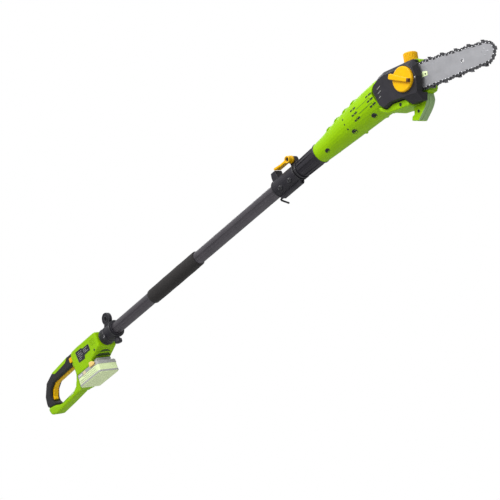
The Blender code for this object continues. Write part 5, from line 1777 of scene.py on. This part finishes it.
@dataclass
class SawChain(Assembly):
    """The saw chain, link by link.

    Attributes:
        axis: where the sprocket's axis crosses the pole's line.
        plane_out: how far the chain's middle stands out.
        wheels: (place along the bar, radius) of the circles it is laid round.
        pitch: distance from one cutter's link to the next.
        stretch: how much taller the links stand where the cover leaves them free.
        free_from: distance along the bar from which they do.
    """

    axis: float = 0.926
    plane_out: float = 0.0220
    wheels: Sequence[tuple[float, float]] = ((0.0, 0.0165), (0.100, 0.0272), (0.275, 0.0200))
    pitch: float = 0.0186
    stretch: float = 1.25
    free_from: float = 0.104

    def build(self) -> None:
        """Lays the links round the bar."""
        loop = self._loop()
        length = sum((Vector(q) - Vector(p)).length for p, q in zip(loop, loop[1:] + loop[:1]))
        rivets = self._spread(loop, length, 2 * round(length / self.pitch))
        ties, cutters, drives, heads = Former(), Former(), Former(), Former()
        for k, start in enumerate(rivets):
            end = rivets[(k + 1) % len(rivets)]
            lay = self._lay(start, end)
            half = (Vector(end) - Vector(start)).length / 2
            if k % 2:
                self._drive(drives, lay, half)
                continue
            if k % 4:
                self._tie(ties, lay, half, 1)
                self._tie(ties, lay, half, -1)
            else:
                side = 1 if k % 8 else -1
                self._cutter(cutters, lay, half, side)
                self._tie(ties, lay, half, -side)
            for point in (start, end):
                for out in (1, -1):
                    heads.loft([[(point[0] + x, point[1] + y,
                                  self.plane_out + out * (0.0022 + lift))
                                 for x, y in ring(radius, 12)]
                                for radius, lift in ((0.0016, 0.0), (0.0015, 0.0003),
                                                     (0.0008, 0.0006), (0.0001, 0.0007))])
        plane = side_plane(self.axis, HEAD_LEAN)
        self.shop.piece("chain_drive_links", drives, plane, Body.BAR, Slot.CHAIN,
                        replaces=("saw_chain",))
        self.shop.piece("chain_tie_straps", ties, plane, Body.BAR, Slot.CHAIN)
        self.shop.piece("chain_cutters", cutters, plane, Body.BAR, Slot.CHAIN)
        self.shop.piece("chain_rivets", heads, plane, Body.BAR, Slot.STEEL)

    def _loop(self) -> Outline:
        """The belt line round the wheels, as a convex outline.

        Returns:
            The outline.
        """
        points = sorted(p for a, r in self.wheels for p in ring(r, 180, a, 0.0))
        hull: Outline = []
        for run in (points, points[::-1]):
            half: Outline = []
            for p in run:
                while len(half) > 1:
                    (ax, ay), (bx, by) = half[-2:]
                    if (bx - ax) * (p[1] - ay) - (by - ay) * (p[0] - ax) > 0:
                        break
                    half.pop()
                half.append(p)
            hull += half[:-1]
        return hull

    @staticmethod
    def _spread(loop: Outline, length: float, count: int) -> Outline:
        """Points at even steps along a closed line.

        Args:
            loop: the line.
            length: its length.
            count: number of points.

        Returns:
            The points.
        """
        spread, run, k = [], 0.0, 0
        for i in range(count):
            target = length * i / count
            while True:
                here, there = Vector(loop[k]), Vector(loop[(k + 1) % len(loop)])
                span = (there - here).length
                if run + span >= target:
                    break
                run, k = run + span, k + 1
            spread.append(tuple(here + (there - here) * ((target - run) / span)))
        return spread

    @staticmethod
    def _lay(start: tuple[float, float], end: tuple[float, float]) -> Matrix:
        """The frame of one link: x runs along it and y points away from the bar.

        Args:
            start: its first rivet.
            end: its second rivet.

        Returns:
            The frame's matrix.
        """
        mid = (Vector(start) + Vector(end)) / 2
        along = (Vector(end) - Vector(start)).normalized()
        return Matrix(((along.x, along.y, 0, mid.x), (along.y, -along.x, 0, mid.y),
                       (0, 0, 1, 0), (0, 0, 0, 1)))

    def _put(self, former: Former, lay: Matrix, outline: Outline, low: float, high: float) -> None:
        """Adds a plate of the link's own outline between two levels across the chain.

        Args:
            former: where its faces go.
            lay: the link's frame.
            outline: its outline.
            low: its lower level.
            high: its upper level.
        """
        grow = self.stretch if lay.translation.x > self.free_from else 1.0
        tall = [(x, y * grow if y > 0 else y) for x, y in outline]
        rows = []
        for z, inset in ((low, -0.0002), (low + 0.0002, 0.0), (high - 0.0002, 0.0),
                         (high, -0.0002)):
            rows.append([tuple(lay @ Vector((x, y, self.plane_out + z)))
                         for x, y in grown(tall, inset)])
        former.loft(rows)

    def _tie(self, former: Former, lay: Matrix, half: float, side: int) -> None:
        """Adds one tie strap with a waisted top.

        Args:
            former: where its faces go.
            lay: the link's frame.
            half: half the distance between its rivets.
            side: 1 for the outer face, -1 for the inner.
        """
        outline = [(-half - 0.0022, 0.0004), (-half - 0.0012, -0.0018), (half + 0.0012, -0.0018),
                   (half + 0.0022, 0.0004), (half + 0.0020, 0.0028), (half + 0.0004, 0.0042),
                   (half - 0.0020, 0.0038), (0.0, 0.0026), (-half + 0.0020, 0.0038),
                   (-half - 0.0004, 0.0042), (-half - 0.0020, 0.0028)]
        low, high = sorted((side * 0.0008, side * 0.0023))
        self._put(former, lay, outline, low, high)

    def _drive(self, former: Former, lay: Matrix, half: float) -> None:
        """Adds one drive link with its tang and bumper.

        Args:
            former: where its faces go.
            lay: the link's frame.
            half: half the distance between its rivets.
        """
        outline = [(-half - 0.0018, 0.0), (-half, -0.0018), (-0.0022, -0.0040), (0.0, -0.0050),
                   (0.0026, -0.0030), (half, -0.0018), (half + 0.0018, 0.0), (half, 0.0026),
                   (0.0020, 0.0048), (-0.0010, 0.0052), (-half, 0.0026)]
        self._put(former, lay, outline, -0.00065, 0.00065)

    def _cutter(self, former: Former, lay: Matrix, half: float, side: int) -> None:
        """Adds one cutter: side plate, depth gauge and overhanging top plate.

        Args:
            former: where its faces go.
            lay: the link's frame.
            half: half the distance between its rivets.
            side: 1 for one hand, -1 for the other.
        """
        outline = [(-half - 0.0030, -0.0004), (-half - 0.0014, -0.0018), (half + 0.0014, -0.0018),
                   (half + 0.0024, 0.0), (half + 0.0026, 0.0036), (half + 0.0016, 0.0056),
                   (half + 0.0002, 0.0054), (half - 0.0014, 0.0026), (half - 0.0036, 0.0020),
                   (half - 0.0046, 0.0062), (half - 0.0050, 0.0068), (-half - 0.0036, 0.0058),
                   (-half - 0.0042, 0.0030)]
        low, high = sorted((side * 0.0008, side * 0.0022))
        self._put(former, lay, outline, low, high)
        top = [(half - 0.0046, 0.0068), (half - 0.0060, 0.0072), (-half - 0.0036, 0.0062),
               (-half - 0.0036, 0.0050), (half - 0.0050, 0.0060)]
        low, high = sorted((side * 0.0027, side * -0.0010))
        self._put(former, lay, top, low, high)


ASSEMBLIES: Sequence[type[Assembly]] = (
    RearHandle, Grip, BatteryPack, PoleCollar, Pole, PoleClamp, HeadSleeve, Housing,
    SprocketCover, OilCap, BranchHook, GuideBar, SawChain)


# --------------------------------------------------------------------------
# Studio
# --------------------------------------------------------------------------
@dataclass(frozen=True)
class Lamp:
    """One soft area light.

    Attributes:
        name: the light's name.
        place: where it hangs, in metres.
        aim: the point it faces.
        size: length of its side in metres.
        power: power in watts.
        colour: its colour.
    """

    name: str
    place: Point
    aim: Point
    size: float
    power: float
    colour: Colour = (1.0, 1.0, 1.0)

    def hang(self) -> bpy.types.Object:
        """Adds the light to the scene.

        Returns:
            The light object.
        """
        data = bpy.data.lights.new(self.name, "AREA")
        data.shape = "SQUARE"
        data.size = self.size
        data.energy = self.power
        data.color = self.colour
        lamp = bpy.data.objects.new(self.name, data)
        lamp.location = self.place
        facing = Vector(self.aim) - Vector(self.place)
        lamp.rotation_euler = facing.to_track_quat("-Z", "Y").to_euler()
        bpy.context.scene.collection.objects.link(lamp)
        return lamp


@dataclass
class Studio:
    """Floor, light and camera.

    Attributes:
        eye: the camera's place in metres.
        right: direction of the picture's right.
        up: direction of the picture's top.
        lens: focal length in millimetres on a 36 mm sensor.
        floor_level: height of the floor.
        floor_side: side of the square floor.
        glow: brightness of the pale surround as it lights the saw.
    """

    eye: Point = (2.6525, -2.2912, -1.2468)
    right: Point = (0.5697, 0.7524, -0.3306)
    up: Point = (0.4700, 0.0318, 0.8821)
    lens: float = 100.0
    floor_level: float = -2.6
    floor_side: float = 9.0
    glow: float = 0.56
    lamps: Sequence[Lamp] = field(default_factory=lambda: (
        Lamp("key_light", (1.2, -2.6, 2.4), (0.3, 0.0, 0.0), 2.2, 125.0),
        Lamp("front_light", (3.4, -2.6, 0.2), (0.4, 0.0, 0.0), 2.0, 22.0),
        Lamp("rim_light", (-1.6, 2.2, 1.8), (0.2, 0.0, 0.0), 2.0, 30.0),
    ))

    def build(self) -> None:
        """Puts up the studio."""
        bpy.context.scene.view_settings.view_transform = "Standard"
        self._surround()
        self._floor()
        for lamp in self.lamps:
            lamp.hang()
        self._camera()
        LOG.info("studio with %d lights", len(self.lamps))

    def _surround(self) -> None:
        """Makes the world: white where it is seen, a soft fall of light where it lights the saw."""
        world = bpy.data.worlds.new("pale_surround")
        world.use_nodes = True
        tree = world.node_tree
        tree.nodes.clear()
        output = tree.nodes.new("ShaderNodeOutputWorld")
        seen = tree.nodes.new("ShaderNodeBackground")
        seen.inputs["Color"].default_value = (1.0, 1.0, 1.0, 1.0)
        seen.inputs["Strength"].default_value = 1.0
        lit = tree.nodes.new("ShaderNodeBackground")
        lit.inputs["Color"].default_value = (0.98, 0.99, 1.0, 1.0)
        place = tree.nodes.new("ShaderNodeTexCoord")
        parts = tree.nodes.new("ShaderNodeSeparateXYZ")
        tree.links.new(place.outputs["Generated"], parts.inputs[0])
        fall = tree.nodes.new("ShaderNodeMapRange")
        for key, value in (("From Min", -1.0), ("From Max", 0.6), ("To Min", 0.10 * self.glow),
                           ("To Max", 1.15 * self.glow)):
            fall.inputs[key].default_value = value
        tree.links.new(parts.outputs["Z"], fall.inputs["Value"])
        tree.links.new(fall.outputs[0], lit.inputs["Strength"])
        ray = tree.nodes.new("ShaderNodeLightPath")
        both = tree.nodes.new("ShaderNodeMixShader")
        tree.links.new(ray.outputs["Is Camera Ray"], both.inputs[0])
        tree.links.new(lit.outputs[0], both.inputs[1])
        tree.links.new(seen.outputs[0], both.inputs[2])
        tree.links.new(both.outputs[0], output.inputs["Surface"])
        bpy.context.scene.world = world

    def _floor(self) -> None:
        """Makes the pale floor."""
        half = self.floor_side / 2
        mesh = bpy.data.meshes.new("studio_floor")
        mesh.from_pydata([(-half, -half, 0), (half, -half, 0), (half, half, 0), (-half, half, 0)],
                         [], [(0, 1, 2, 3)])
        floor = bpy.data.objects.new("studio_floor", mesh)
        floor.location.z = self.floor_level
        material = bpy.data.materials.new("pale_floor")
        graph = Graph(material)
        tone = graph.span(graph.noise(0.5, (1, 1, 1), 3), 0.3, 0.7, 0.0, 0.05)
        graph.feed(graph.shader.inputs["Base Color"],
                   graph.mix(tone, (0.74, 0.74, 0.74), (0.68, 0.68, 0.68)))
        graph.shader.inputs["Roughness"].default_value = 0.8
        mesh.materials.append(material)
        bpy.context.scene.collection.objects.link(floor)
        floor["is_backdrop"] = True

    def _camera(self) -> None:
        """Sets up the camera."""
        data = bpy.data.cameras.new("studio_camera")
        data.lens = self.lens
        data.sensor_width = 36.0
        data.clip_end = 60.0
        camera = bpy.data.objects.new("studio_camera", data)
        right = Vector(self.right).normalized()
        back = right.cross(Vector(self.up)).normalized()
        up = back.cross(right)
        turn = Matrix((right, up, back)).transposed().to_4x4()
        camera.matrix_world = Matrix.Translation(self.eye) @ turn
        bpy.context.scene.collection.objects.link(camera)
        bpy.context.scene.camera = camera


def main() -> None:
    """Builds the whole saw, from the rear handle to the chain."""
    logging.basicConfig(level=logging.INFO, format="%(name)s: %(message)s")
    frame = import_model()
    solid_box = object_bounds()
    palette = Palette()
    Studio().build()
    shop = Workshop(frame, palette)
    for assembly in ASSEMBLIES:
        assembly(shop).build()
    shop.finish_rest()
    {"cad": as_lists(solid_box), "visual": as_lists(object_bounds())}


def as_lists(box: Iterable) -> list:
    """Plain lists of numbers from nested vectors.

    Args:
        box: vectors or numbers, nested.

    Returns:
        The same as lists of floats.
    """
    return [as_lists(v) if hasattr(v, "__len__") else float(v) for v in box]


if __name__ == "__main__":
    main()
